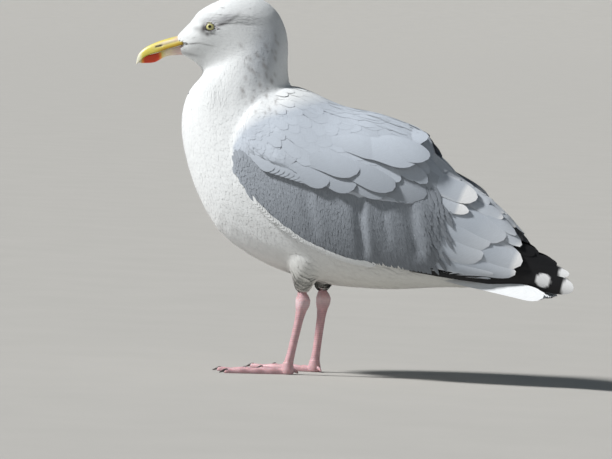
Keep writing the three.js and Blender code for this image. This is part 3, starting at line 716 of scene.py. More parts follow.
def angle_on_wing(x, height, y, lift=0.0, top=None):
    """Angles from the top at which places lie, on the left and right alike without y."""
    high, level, low, half = wing_section(x, top)
    reach = np.where(height > level, high + lift - level, level - low)
    rise = (height - level) / reach
    if y is None:
        return np.arccos(np.clip(rise, -1, 1))
    return np.arctan2(y / (half + lift), rise)


def back_onto_wing(lift=0.0, folds=0.0, top=None):
    """A function that brings any points near the wing's face back onto it."""
    def settle(points):
        x, y, z = np.moveaxis(points / MM, -1, 0)
        return on_wing(x, angle_on_wing(x, z, y, lift, top), lift, folds, top)

    return settle


def laid(roots, tips, side, rows, bow=0.0, lift=0.0, folds=0.0, top=None):
    """Centre lines of vanes from roots to tips given as seen from the side."""
    t = row_steps(rows)[None, :, None]
    line = roots[:, None] * (1 - t) + tips[:, None] * t
    span = tips - roots
    line = line + np.stack([-span[:, 1], span[:, 0]], -1)[:, None] * bow * 4 * t * (1 - t)
    angle = side * angle_on_wing(line[..., 0], line[..., 1], None, lift, top)
    return *on_wing(line[..., 0], angle, lift, folds, top), back_onto_wing(lift, folds, top)


# Soft grey feathers: matt keratin with close barbs 0.4 mm apart, drawn 1.1 mm apart.
grey_feather = plumage_material("grey_contour_feather", spacing=1.1, lean=48, depth=0.16,
                                rough=0.8, sheen=0.15)

# Small feathers in front, on the nape's edge and the bend of the wing.
BEND = -58  # behind this the wing's own face carries the feathers
BEND_ROWS, BEND_COLS = 6, 5
BEND_SPACING = 4.6 * MM
BEND_HALF = 0.27  # half width, as a share of the length
BEND_LENGTH = [[-135, -60], [11, 21]]  # feather lengths from the front to behind
BEND_UNDER = [[-66, -44], [0, 1.5]]  # the rearmost dip this far under the back feathers
spots = surface_points(60000)
spots = spots[(grey_share(spots) > 0.15) & (spots[:, 0] < BEND * MM)]
spots = spots[scattered(spots, np.full(len(spots), BEND_SPACING))]
lie = unit(along_body(spots)[2] + [1.0, 0, -0.2]) + chance.normal(0, 0.05, spots.shape)
length = np.interp(spots[:, 0] / MM, *BEND_LENGTH) * MM
length *= chance.uniform(0.9, 1.15, len(spots))
centre, out = walked(spots, lie, length, BEND_ROWS)
half = length * BEND_HALF * chance.uniform(0.9, 1.1, len(spots))
rise = (-0.5 + 0.6 * row_steps(BEND_ROWS))[None] * MM * chance.uniform(0.7, 1.2, (len(spots), 1))
rise = rise - np.interp(centre[..., 0] / MM, *BEND_UNDER) * MM
vane = vanes(centre, out, half, rise, BEND_COLS, "soft", thick=0.1 * MM, dish=0.05, soft=0.2)
shade = chance.normal(1, 0.02, (len(spots), 1, 1))
tint = plumage_colour(vane[0]) * shade
dress(feather_piece("coat_bend", vane, tint, BEND_ROWS, BEND_COLS), grey_feather)

# Feathers over the back, in loose rows from side to side, each starting under the one before.
BACK_ROWS, BACK_COLS = 8, 7
BACK_FROM, BACK_TO, ROW_STEP = BEND - 34, 72, 7.5
BACK_STEP = 14 / 62  # angle from one feather to the next: 14 mm on a back of 62 mm radius
BACK_WIDEST = [[-80, 20, 72], [1.1, 0.95, 0.8]]  # angles where the rows end at the sides
BACK_LENGTH = [[-92, -60, 60], [20, 30, 42]]
BACK_LYING = [[-80, 0, 60], [0.5, 0.8, 1.1]]  # how far they stand off each other
BACK_END = 98  # none reaches farther behind
DROOP_FROM, DROOP = 66, 15  # from here on their ends droop towards the rump
BACK_HALF = 0.25  # half width, as a share of the length
starts, angles = [], []
for row, start in enumerate(np.arange(BACK_FROM, BACK_TO, ROW_STEP)):
    widest = np.interp(start, *BACK_WIDEST)
    for angle in np.arange(-widest, widest + 0.01, BACK_STEP) + BACK_STEP / 2 * (row % 2):
        starts.append(start + chance.normal(0, 2.2))
        angles.append(angle + chance.normal(0, 0.03))
starts, angles = np.array(starts), np.array(angles)
length = np.interp(starts, *BACK_LENGTH) * chance.uniform(0.9, 1.12, len(starts))
length = np.minimum(length, BACK_END - 5 * np.abs(angles) - starts)
keep = (length > 22 - 0.02 * starts) | (starts < -40)
starts, angles, length = starts[keep], angles[keep], length[keep]
t = row_steps(BACK_ROWS)[None]
x = starts[:, None] + length[:, None] * t
centre, out = on_wing(x, angles[:, None] * (1 + 0.1 * t), SHOULDER_RISE)
droop = np.clip((x - DROOP_FROM) / (BACK_END - DROOP_FROM), 0, 1) ** 2 * DROOP
droop *= np.clip(1.6 - 2 * np.abs(angles[:, None]), 0, 1)  # least at the sides
sunk = np.interp(starts, [-84, -70], [1.8, 0])[:, None] * (1 - t) ** 2  # roots in the white coat
lying = np.interp(starts, *BACK_LYING)[:, None] * chance.uniform(0.8, 1.2, (len(x), 1))
rise = ((-0.5 + 0.65 * t) * lying - droop - sunk) * MM
vane = vanes(centre, out, length * BACK_HALF * MM, rise, BACK_COLS, "broad", thick=0.08 * MM,
             dish=0.03, soft=0.2)
shade = chance.normal(1, 0.015, (len(x), 1, 1))
tint = plumage_colour(vane[0]) * shade
dress(feather_piece("coat_back", vane, tint, BACK_ROWS, BACK_COLS), grey_feather)

# Shoulder feathers: root and tip as seen from the side, width, how far the tip and the lower
# edge stand off, bow. The upper ones lie over the lower ones.
SHOULDER = [[(x - 32, z + 26), (x, z), 22, 0.0, 0.0, 0.02] for x, z in zip(
    range(-76, -24, 6), np.linspace(230, 218, 9))]
SHOULDER += [
    [(-66, 244), (-12, 217), 28, 1.2, 0.10, 0.02], [(-38, 239), (18, 214), 30, 1.4, 0.12, 0.02],
    [(-6, 234), (54, 209), 30, 1.0, 0.08, 0.02], [(28, 225), (86, 205), 24, -2.4, 0.0, 0.02],
    [(56, 218), (109, 203), 22, -2.8, 0.0, 0.0],
    [(-104, 262), (-50, 243), 30, 0.0, 0.0, 0.02], [(-84, 260), (-20, 239), 32, 0.5, 0.03, 0.03],
    [(-60, 256), (20, 231), 34, 2.6, 0.2, 0.04], [(-30, 252), (60, 214), 34, 2.6, 0.2, 0.05],
    [(4, 246), (94, 208), 34, -1.6, 0.0, 0.04], [(30, 244), (120, 217), 32, -2.6, 0.0, 0.03],
    [(-66, 280), (2, 262), 30, 0.4, 0.03, 0.03], [(-34, 276), (50, 252), 36, 2.6, 0.14, 0.04],
    [(0, 268), (80, 243), 36, 6.0, 0.26, 0.04], [(22, 270), (90, 247), 32, 7.0, 0.24, 0.04]]
LONG_ROWS, LONG_COLS = 16, 9
# The uppermost stand off the wing behind, as a cape: heights of its top.
CAPE_TOP = [[-100, -60, -20, 20, 50, 76, 95], [318, 311, 298.5, 290.5, 285, 280.5, 276]]
CAPE = [
    [(-30, 292), (60, 266), 34, 0.3, 0.04, 0.03], [(-8, 280), (80, 255), 34, 0.6, 0.05, 0.04],
    [(-30, 294), (72, 276), 36, 0.6, 0.03, 0.02], [(-8, 287), (85, 271), 38, 1.0, 0.04, 0.02]]
SHOULDER_PAINTED_SHADE = [[200, 272], [0.66, 1]]  # painted shade: heights, and shares of the grey that darken it lower down
FAR_SHORTER = 9  # the right wing is folded this much further forward


def columns(feathers):
    """The columns of a table of feathers, each as an array."""
    return [np.array(column, float) for column in zip(*feathers)]


def shoulder_feathers(side, feathers, lift, top=None):
    """Shoulder feathers of one side, with painted shade: darker the lower they lie."""
    roots, tips, wide, stand, edge, bow = columns(feathers)
    if side == RIGHT:
        tips, stand = tips + [-FAR_SHORTER, 1], stand * 0.6
    centre, out, settle = laid(roots, tips, side, LONG_ROWS, bow[:, None, None], lift, top=top)
    t = row_steps(LONG_ROWS)[None]
    deep = np.interp(roots[:, :1], [-100, -70], [5.0, 2.0])  # the foremost roots lie deepest
    rise = (-deep + (deep + stand[:, None]) * t ** 0.8) * MM
    vane = vanes(centre, out, wide / 2 * MM, rise, LONG_COLS, "broad", thick=0.3 * MM, dish=0.08,
                 settle=settle, tilt=side * edge[:, None, None] * t[..., None])
    # Painted shade: the lower the point, the darker its grey.
    tint = GREY * np.interp(vane[0][..., 2:] / MM, *SHOULDER_PAINTED_SHADE)
    return vane, tint * chance.normal(1.0, 0.015, (len(roots), 1, 1))


def together(*parts):
    """Several sets of vanes with their colours as one."""
    sets, tints = zip(*parts)
    return tuple(map(np.concatenate, zip(*sets))), np.concatenate(tints)


for name, side in SIDES:
    vane, tint = together(shoulder_feathers(side, SHOULDER, SHOULDER_RISE),
                          shoulder_feathers(side, CAPE, 0, CAPE_TOP))
    piece = feather_piece(f"shoulder_feathers_{name}", vane, tint, LONG_ROWS, LONG_COLS)
    dress(piece, grey_feather)

# The coverts: narrow tufts of barbs that hang down side by side between the shoulder feathers
# and the wing's lower edge, and lean backwards towards the wing tip.
COVERT_TOP = [[-122, -99, -83, -57, -34, -6, 23, 60, 88, 110, 126],
              [236, 234, 232, 230, 225, 220, 216, 210, 204, 196, 186]]
TERTIAL_RISE = 3  # the inner flight feathers lie this many millimetres outside the wing
COVERTS_END = 84  # from here on ever fewer of them lie over the flight feathers
TUFT_ROWS, TUFT_COLS = 6, 3
TUFTS_FROM, TUFTS_TO = -124, 126
TUFT_STEP, TUFT_DROP = 1.9, 3.3  # from one tuft to the next, backwards and upwards
TUFT_DEPTH, TUFT_RISE = 0.5, 0.34  # its root lies this far under the wing's face, its tip above
roots, tips = [], []
for x in np.arange(TUFTS_FROM, TUFTS_TO, TUFT_STEP):
    low = wing_edge(x) + 0.5
    high = np.interp(x, *COVERT_TOP) + 4
    lean = np.interp(x, [-110, -20, 60, 126], [30, 6, 14, 34])
    for z in np.arange(low - 3, high, TUFT_DROP):
        if chance.random() > np.interp(x, [COVERTS_END, 118], [1, 0.1]):
            continue
        size = chance.uniform(13, 21) * np.interp(x, [-115, -60], [0.55, 1])
        loose = 3 if z > low else 1.2  # the lowest end in an even row
        foot = np.array([x + chance.normal(0, 0.9), z + chance.uniform(0, loose)])
        turn = math.radians(lean + chance.normal(0, 2.5))
        roots.append(foot + size * np.array([-math.sin(turn), math.cos(turn)]))
        tips.append(foot)
roots, tips = np.array(roots), np.array(tips)


def covert_tufts(side):
    """The tufts of one side, over the flight feathers behind, with painted shade: darker the lower
    they hang.
    """
    centre, out, _ = laid(roots, tips, side, TUFT_ROWS, lift=0.4, folds=1.0)
    count = len(roots)
    rise = (-TUFT_DEPTH + (TUFT_DEPTH + TUFT_RISE) * row_steps(TUFT_ROWS)[None]) * MM
    rise = rise * chance.uniform(0.75, 1.2, (count, 1))
    rise = rise + np.interp(tips[:, :1], [30, 100], [0, TERTIAL_RISE - 0.2]) * MM
    half = chance.uniform(1.5, 2.4, count) * MM
    vane = vanes(centre, out, half, rise, TUFT_COLS, "soft", thick=0.15 * MM, dish=0.1, soft=0.7)
    # Painted shade: the lower a tuft hangs, the darker its grey; the random spread is the tufts' own
    # tone.
    darker = np.interp(tips[:, 1], [120, 210], [0.37, 0.61])[:, None, None]
    darker = darker * chance.normal(1, 0.05, (count, 1, 1))
    return vane, np.repeat(GREY * darker, vane[0].shape[1], 1)


# Covert barbs: matt, in fine cords 0.5 mm apart along each tuft, drawn 0.9 mm apart.
covert_feather = plumage_material("grey_covert_barbs", spacing=0.9, lean=4, depth=0.2,
                                  rough=0.8, sheen=0.15)
for name, side in SIDES:
    vane, tint = covert_tufts(side)
    piece = feather_piece(f"coverts_{name}", vane, tint, TUFT_ROWS, TUFT_COLS)
    dress(piece, covert_feather)

# White flank feathers lap over the lower edge of the folded wing.
FLANK_ROWS, FLANK_COLS = 6, 5
FLANK = (-96, 44, 3.2)  # first and last tip behind the middle, and the step between them
FLANK_LENGTH, FLANK_HALF = 15, 3.4
FLANK_WHITE = WHITE * 0.97
FLANK_DEPTH, FLANK_RISE = 1.4, 1.5  # the roots lie this far under the wing's face, the tips above


def flank_feathers(side):
    """One row along the edge, the roots under the white coat, the lower side turned out."""
    along = np.arange(*FLANK)
    tips = np.stack([along, wing_edge(along) - 1.5], -1)
    tips[:, 1] += np.random.default_rng(5).normal(0, 0.5, len(tips))
    roots = np.stack([along - FLANK_LENGTH, wing_edge(along - FLANK_LENGTH) - 5], -1)
    centre, out, settle = laid(roots, tips, side, FLANK_ROWS)
    rise = -FLANK_DEPTH + (FLANK_DEPTH + FLANK_RISE) * row_steps(FLANK_ROWS)
    rise = np.tile(rise * MM, (len(tips), 1))
    half = np.full(len(tips), FLANK_HALF * MM)
    vane = vanes(centre, out, half, rise, FLANK_COLS, "soft", thick=0.1 * MM, dish=0.05,
                 settle=settle, tilt=side * -0.12, soft=0.4)
    return vane, np.ones(vane[0].shape) * FLANK_WHITE


for name, side in SIDES:
    vane, tint = flank_feathers(side)
    piece = feather_piece(f"flank_feathers_{name}", vane, tint, FLANK_ROWS, FLANK_COLS)
    dress(piece, white_feather)

# ---------------------------------------------------------------- inner flight feathers
# The tertials and the ends of the secondaries close the wing behind. They are long stiff grey
# vanes with broad white tips, rooted in the forearm. Over the rump those of the two wings lie
# on each other.

WHITE_TIP = linear("f2f3f5")
NO_TIP = -3  # for a vane without a white tip
RIM, PALE_END, PALER = 1.5, 38, 0.3  # breadth of the pale rim and end, and how pale they are
FLIGHT_THICK = 0.5 * MM
FLIGHT_ROOT = 4.6  # the roots lie this many millimetres deep
# Root, tip, width, length of the white tip, lift, bow.
NEAR_FLIGHT = [
    [(60, 142), (170, 125), 13, NO_TIP, 0.2, -0.01], [(84, 152), (194, 127), 24, 5, 0.5, -0.01],
    [(72, 172), (158, 144), 34, NO_TIP, 0.4, 0], [(96, 178), (200, 138), 34, 7, 0.9, 0.01],
    [(80, 196), (165, 158), 34, NO_TIP, 0.6, 0], [(88, 204), (180, 165), 34, NO_TIP, 1.4, 0.03],
    [(76, 214), (139, 192), 16, 13, 1.8, 0.0], [(64, 238), (145, 206), 30, 17, 2.3, 0.03]]
UPPER_FLIGHT = [
    [(70, 240), (158, 202), 22, NO_TIP, 0.4, 0.03],
    [(80, 236), (174, 186), 20, 4, 1.2, 0.03], [(96, 230), (190, 168), 16, NO_TIP, 1.6, 0.04],
    [(96, 228), (197, 157), 22, 4, 0.8, 0.04], [(110, 216), (190, 150), 20, NO_TIP, -0.6, 0.03]]
# The arch over the rump: distances behind the middle and heights of its top.
RUMP_TOP = [[20, 60, 77, 97, 117, 137, 157, 177, 197, 210],
            [283, 273, 263, 246, 231, 219, 207, 191, 171, 156]]


def from_tip(vane):
    """How far beside the shaft and before the tip each point of vanes lies, in millimetres."""
    off, along = vane[2][..., 0], vane[2][..., 1]
    return off, along.max(1, keepdims=True) - along


def white_tipped(vane, wide, white):
    """Grey vanes with white tips and a fine pale rim."""
    off, to_tip = from_tip(vane)
    share = np.clip((white[:, None] - to_tip) / 1.6 + 0.5, 0, 1)[..., None]
    rim = np.clip(1 - (wide[:, None] / 2 - np.abs(off)) / RIM, 0, 1)
    rim = PALER * np.maximum(rim, np.clip(1 - to_tip / PALE_END, 0, 1))[..., None]
    tint = GREY * 0.98 * (1 - rim) + WHITE_TIP * rim
    return tint * (1 - share) + WHITE_TIP * share


def flight_feathers(side, feathers, top=None):
    """Stiff vanes whose roots lie deep, under the feathers in front."""
    roots, tips, wide, white, high, bow = columns(feathers)
    centre, out, settle = laid(roots, tips, side, LONG_ROWS, bow[:, None, None], TERTIAL_RISE,
                               top=top)
    t = row_steps(LONG_ROWS)[None]
    rise = (-FLIGHT_ROOT + (FLIGHT_ROOT + high[:, None]) * t ** 0.58) * MM
    vane = vanes(centre, out, wide / 2 * MM, rise, LONG_COLS, "broad", FLIGHT_THICK, dish=0.1,
                 settle=settle, tilt=side * 0.05)
    return vane, white_tipped(vane, wide, white)


RUMP_ANGLES = (1.05, 0.8, 0.55, 0.3, 0.05)  # from the outside to the middle
RUMP_ENDS = np.arange(192, 96, -13)  # how far behind the rows end, the lowest row first
# How deep the lowest row's roots lie, how much higher each row lies, and how much the tips rise.
RUMP_DEPTH, RUMP_LAYER, RUMP_RISE = 3.4, 0.35, 1.3


def rump_feathers():
    """Inner tertials from both wings, laid over the rump from the outside to the middle."""
    lines = []
    for level, end in enumerate(RUMP_ENDS):
        for count, angle in enumerate(RUMP_ANGLES):
            for side in (LEFT, RIGHT):
                stop = end - 9 * angle + (5 if side == RIGHT else -3) + chance.normal(0, 1.5)
                spread = side * angle + chance.normal(0, 0.03) + 0.06 * (level % 2)
                begin = stop - chance.uniform(62, 74)
                lines.append([begin, stop, spread, level + 0.3 * (len(RUMP_ANGLES) - count)])
    begin, stop, spread, level = np.array(lines).T[..., None]
    t = row_steps(LONG_ROWS)[None]
    x = begin * (1 - t) + stop * t
    centre, out = on_wing(x, spread * (1.05 - 0.15 * t), top=RUMP_TOP)
    rise = (-RUMP_DEPTH + RUMP_LAYER * level + RUMP_RISE * t) * MM
    wide = np.interp(stop[:, 0], [98, 197], [30, 18])
    vane = vanes(centre, out, wide / 2 * MM, rise, LONG_COLS, "broad", thick=0.3 * MM, dish=0.06,
                 settle=back_onto_wing(top=RUMP_TOP), soft=0.5)
    return vane, white_tipped(vane, wide, np.where(stop[:, 0] > 168, 2.5, NO_TIP))


for name, side in SIDES:
    sunk = 5 if side == RIGHT else 0  # the left wing lies over the right one
    arch = [RUMP_TOP[0], [z - sunk for z in RUMP_TOP[1]]]
    vane, tint = together(flight_feathers(side, UPPER_FLIGHT, arch),
                          flight_feathers(side, NEAR_FLIGHT))
    piece = feather_piece(f"tertials_{name}_vanes", vane, tint, LONG_ROWS, LONG_COLS)
    dress(piece, grey_feather)
    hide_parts(f"tertials_{name}")
rump = feather_piece("rump_tertials", *rump_feathers(), LONG_ROWS, LONG_COLS)
dress(rump, grey_feather)

# ---------------------------------------------------------------- wing tips
# The outer primaries are stiff black vanes, each with a white tip; the outermost also has a
# white spot across it. They stick out behind the folded wing over the tail.

WING_BLACK = linear("151518")
# Root, tip, width, white tip, white spot's distance from the tip (0 for none), rise, bow.
PRIMARIES = [
    [(78, 127), (228, 113), 14, NO_TIP, 0, -0.8, 0.0],
    [(90, 131), (240, 122), 16, NO_TIP, 0, -0.8, 0.0],
    [(120, 162), (216, 150), 16, NO_TIP, 0, -0.6, 0.02],
    [(110, 152), (236, 139), 17, NO_TIP, 0, -0.2, 0.02],
    [(105, 142), (250.5, 128), 15, 11.5, 0, 0.1, 0.02],
    [(99, 134), (256.5, 112), 23, 13, 35, 0.9, 0.02],
    [(120, 174), (212, 148), 11, NO_TIP, 0, 0.6, 0.02]]
PRIMARY_ROWS, PRIMARY_COLS = 56, 17
PRIMARY_DEPTH = 1.2  # the roots lie this many millimetres deep
SPOT_RADIUS, SPOT_ASIDE = 8, 1.5  # the spot lies a little aside of the shaft


def primaries(side):
    """The black vanes of one wing tip, with their white tips and the one white spot."""
    roots, tips, wide, white, spot, high, bow = columns(PRIMARIES)
    if side == RIGHT:
        tips = tips + [-FAR_SHORTER, 0.5]
    centre, out, settle = laid(roots, tips, side, PRIMARY_ROWS, bow[:, None, None])
    t = row_steps(PRIMARY_ROWS)[None]
    rise = (-PRIMARY_DEPTH + (PRIMARY_DEPTH + high[:, None]) * t) * MM
    vane = vanes(centre, out, wide / 2 * MM, rise, PRIMARY_COLS, "long", FLIGHT_THICK, dish=0.08,
                 settle=settle)
    off, to_tip = from_tip(vane)
    share = np.clip((white[:, None] - to_tip - 0.15 * np.abs(off)) / 1.2 + 0.5, 0, 1)
    oval = (((to_tip - spot[:, None]) / SPOT_RADIUS) ** 2
            + ((-side * off - SPOT_ASIDE) / SPOT_RADIUS) ** 2)
    share = np.maximum(share, np.where(spot[:, None] > 0, np.clip((1 - oval) * 3 + 0.5, 0, 1), 0))
    tint = WING_BLACK * (1 - share[..., None]) + WHITE_TIP * share[..., None]
    return vane, tint


# Flight feathers: smooth, with a low silky gloss. Their barbs are 0.5 mm apart, drawn 1 mm apart.
flight_feather = plumage_material("flight_feather", spacing=1.0, lean=35, depth=0.12,
                                  rough=0.5, sheen=0.1)
for name, side in SIDES:
    vane, tint = primaries(side)
    piece = feather_piece(f"primaries_{name}_vanes", vane, tint, PRIMARY_ROWS, PRIMARY_COLS)
    dress(piece, flight_feather)
    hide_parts(f"primaries_{name}")

# ---------------------------------------------------------------- tail
# Twelve stiff white feathers of keratin are rooted side by side in the end of the rump. They
# lie over each other like a closed fan, the middle pair on top.

TAIL_PAIRS = 6
TAIL_ROWS = 24
TAIL_WHITE = linear("e2e5e8")
TAIL_HALF = 9.5  # half width of a feather
TAIL_ROOT, TAIL_ROUND = 30, 7  # roots before the tail's front, outer tips before its end
TAIL_LEVEL, TAIL_FALL = 117, 16.5  # height at its front, and how far it falls to its end
TAIL_STACK = 2.4  # the middle pair lies this much higher
TAIL_TURN = math.radians(66)  # by which the outermost feathers are turned down
tail_low, tail_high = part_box("tail")
share = ((np.arange(-TAIL_PAIRS, TAIL_PAIRS) + 0.5) / TAIL_PAIRS)[:, None]  # left (-) to right
t = row_steps(TAIL_ROWS)[None]
root_x, tip_x = tail_low.x - TAIL_ROOT * MM, tail_high.x - TAIL_ROUND * MM * share ** 2
x = root_x + (tip_x - root_x) * t
y = (tail_low.y + tail_high.y) / 2 + share * (24 + 9 * t) * MM
along = (x - tail_low.x) / (tail_high.x - tail_low.x)
fold = share ** 2  # the outer feathers are turned down over the sides
z = TAIL_LEVEL - TAIL_FALL * along + 4 * fold - 3 * fold * along ** 2
z = (z + TAIL_STACK * (1 - np.abs(share))) * MM
slant = TAIL_TURN * np.sign(share) * fold * np.ones_like(x)
out = np.stack([np.zeros_like(x), np.sin(slant), np.cos(slant)], -1)
half = np.full(len(share), TAIL_HALF * MM)
vane = vanes(np.stack([x, y, z], -1), out, half, np.zeros_like(x), LONG_COLS, "long",
             FLIGHT_THICK, dish=0.06)
tint = np.ones(vane[0].shape) * TAIL_WHITE
tail_vanes = feather_piece("tail_vanes", vane, tint, TAIL_ROWS, LONG_COLS)
dress(tail_vanes, flight_feather)
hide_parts("tail")

# ---------------------------------------------------------------- eyes
# The eye is a clear wet globe over a pale yellow iris and a round black pupil. It sits in a
# bare rim of soft skin, the lids, which closes on it with a thin dark edge.

EYE_RADIUS = (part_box("eye_left")[1].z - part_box("eye_left")[0].z) / 2
PUPIL, IRIS = 1.85 * MM, 4.4 * MM
CORNEA_BULGE = 0.05  # share of the radius by which the cornea swells
GAZE_AHEAD, GAZE_UP = 0.12, 0.15
IRIS_PALE, IRIS_DEEP, PUPIL_BLACK = linear("d9d59a"), linear("a9a35c"), linear("050505")
LID_EDGE, LID_PALE = linear("231d1d"), linear("cfcad2")
LID_OPEN = (4.8 * MM, 3.6 * MM)  # half length and half height of the opening


def eye_axes(side):
    """Outwards from the globe, ahead along the head, and upwards across both."""
    outwards = unit(across * side + ahead * GAZE_AHEAD + np.array([0, 0, GAZE_UP]))
    forward = unit(ahead - outwards * (ahead @ outwards))
    upwards = np.cross(outwards, forward)
    return outwards, forward, upwards if upwards[2] > 0 else -upwards


def round_ring(count):
    """Angles evenly spaced round a ring."""
    return np.arange(count) / count * 2 * math.pi


def ring_faces(rings, sides, closed=False):
    """Faces between rings of points, and between the last and the first ring if closed."""
    here = np.arange(rings if closed else rings - 1)[:, None] * sides
    there = (here + sides) % (rings * sides)
    c = np.arange(sides)[None]
    d = (c + 1) % sides
    return np.stack([here + c, here + d, there + d, there + c], -1).reshape(-1, 4)


INSIDE_OUT = [0, 3, 2, 1]  # the order of a face's corners that turns it over
EYE_RINGS, EYE_SPOKES = 59, 72


def globe(side):
    """The ball with its swollen cornea, and the iris and pupil painted on it."""
    outwards, forward, upwards = eye_axes(side)
    centre = left_eye if side == LEFT else right_eye
    tilt = np.linspace(0, math.pi, EYE_RINGS + 2)[1:-1]
    spin = round_ring(EYE_SPOKES)
    off = EYE_RADIUS * np.sin(tilt)[:, None] * np.ones(EYE_SPOKES)
    bulge = 1 + CORNEA_BULGE * np.exp(-(tilt / 0.5) ** 4)[:, None]
    ball = (outwards * (EYE_RADIUS * np.cos(tilt)[:, None, None] * bulge[..., None])
            + (forward * np.cos(spin)[None, :, None] + upwards * np.sin(spin)[None, :, None])
            * off[..., None])
    poles = [outwards * EYE_RADIUS * (1 + CORNEA_BULGE), -outwards * EYE_RADIUS]
    points = np.concatenate([ball.reshape(-1, 3), poles])
    count = EYE_RINGS * EYE_SPOKES
    last = count - EYE_SPOKES
    faces = ring_faces(EYE_RINGS, EYE_SPOKES)[:, INSIDE_OUT].tolist()
    for c in range(EYE_SPOKES):
        d = (c + 1) % EYE_SPOKES
        faces += [[count, c, d], [count + 1, last + d, last + c]]
    off = np.concatenate([off.ravel(), [0, 0]])
    angle = np.concatenate([np.tile(spin, EYE_RINGS), [0, 0]])
    streak = (np.sin(angle * 23 + 2 * np.sin(angle * 5)) + np.sin(angle * 41 + 1.3)) / 2
    blend = np.clip((off - PUPIL) / (IRIS - PUPIL), 0, 1)
    blend = np.clip(np.abs(blend - 0.4) * 1.5 + 0.12 * streak, 0, 1)[:, None]
    colour = IRIS_PALE * (1 - blend) + IRIS_DEEP * blend
    pupil = np.clip((PUPIL + 0.15 * MM - off) / (0.3 * MM), 0, 1)
    rim = np.clip((off - IRIS) / (0.6 * MM), 0, 1)
    dark = np.clip(pupil + rim, 0, 1)[:, None]
    return points + centre, faces, colour * (1 - dark) + PUPIL_BLACK * dark


# The clear cornea and tear film give the gloss: a smooth coat over the matt iris.
wet_eye, tree, surface = new_material("cornea_over_iris", {
    "Roughness": 0.35, "IOR": 1.38, "Coat Weight": 1.0, "Coat Roughness": 0.03, "Coat IOR": 1.38})
tint = add(tree, "ShaderNodeAttribute", attribute_name="tint")
link(tree, surface, {"Base Color": tint.outputs["Color"]})


LID_CORNER = 0.42  # share by which the rear corner runs out
LID_BACK, LID_DOWN = 0.5 * MM, 0.4 * MM  # the opening lies off the eye's middle by this
CHEEK = 5.1 * MM  # how far out from the eye's middle the cheek lies
# Section of the lid's ring: how far out from the opening, and its height over the eye.
LID_PROFILE = [(0.0, -0.5), (0.0, 0.35), (0.3, 0.8), (0.8, 1.0), (1.3, 0.9), (1.8, 0.55),
               (2.5, 0.0), (3.2, -0.9), (3.2, -2.4), (0.4, -2.2)]


def lids(side):
    """A soft ring: its inner edge lies on the globe, its outer edge in the cheek."""
    outwards, forward, upwards = eye_axes(side)
    centre = left_eye if side == LEFT else right_eye
    spin = round_ring(EYE_SPOKES)
    rear = np.clip(-np.cos(spin), 0, 1) ** 8
    inner_length, inner_height = LID_OPEN[0] * (1 + LID_CORNER * rear), LID_OPEN[1]
    points = []
    for outer, lift in LID_PROFILE:
        a = (inner_length + outer * MM) * np.cos(spin) - LID_BACK
        b = (inner_height + outer * MM * 0.85) * np.sin(spin) - LID_DOWN
        on_globe = np.clip((EYE_RADIUS * 1.01) ** 2 - a ** 2 - b ** 2, (2.2 * MM) ** 2, None)
        depth = CHEEK - 0.3 * MM * (np.abs(b) / LID_OPEN[1])
        if outer < 1.3:
            depth = np.maximum(np.sqrt(on_globe), depth)
        depth = (depth + lift * MM * 0.55)[:, None]
        points.append(forward * a[:, None] + upwards * b[:, None] + outwards * depth + centre)
    faces = ring_faces(len(points), EYE_SPOKES, closed=True)[:, INSIDE_OUT]
    if side == RIGHT:
        faces = faces[:, ::-1]
    outer = np.repeat([far for far, _ in LID_PROFILE], EYE_SPOKES)
    front = np.tile(np.clip(np.cos(spin + 0.35) * 1.6, 0, 1), len(points)) * 0.9
    rim = (np.clip((outer - 0.3) / 0.5, 0, 1) * (1 - front))[:, None]
    return np.concatenate(points), faces, LID_EDGE * (1 - rim) + LID_PALE * rim


# Lid skin: fine moist skin with a faint satin shine.
lid_skin, tree, surface = new_material("lid_skin", {"Roughness": 0.45})
tint = add(tree, "ShaderNodeAttribute", attribute_name="tint")
where = add(tree, "ShaderNodeTexCoord")
pores = add(tree, "ShaderNodeTexNoise", {"Scale": 1 / (0.5 * MM)}, {"Vector": where.outputs["Object"]})
bump = add(tree, "ShaderNodeBump", {"Strength": 0.3, "Distance": 0.15 * MM},
           {"Height": pores.outputs["Fac"]})
link(tree, surface, {"Base Color": tint.outputs["Color"], "Normal": bump.outputs["Normal"]})


def mixed_piece(name, points, faces):
    """An object whose faces have different numbers of corners."""
    mesh = bpy.data.meshes.new(name)
    mesh.from_pydata([tuple(p) for p in points], [], [list(map(int, face)) for face in faces])
    mesh.validate()
    mesh.shade_smooth()
    piece = bpy.data.objects.new(name, mesh)
    bpy.context.scene.collection.objects.link(piece)
    return piece


for name, side in SIDES:
    points, faces, colour = globe(side)
    if side == RIGHT:
        faces = [face[::-1] for face in faces]
    eye = mixed_piece(f"eyeball_{name}", points, faces)
    paint(eye, colour)
    dress(eye, wet_eye)
    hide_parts(f"eye_{name}")
    points, faces, colour = lids(side)
    lid = mixed_piece(f"lids_{name}", points, faces)
    paint(lid, colour)
    dress(lid, lid_skin)

# ---------------------------------------------------------------- bill
# The bill is a sheath of yellow horn over the jaws, hooked at the tip, with a slit nostril in
# a shallow groove and an orange-red spot on the lower jaw's angle.

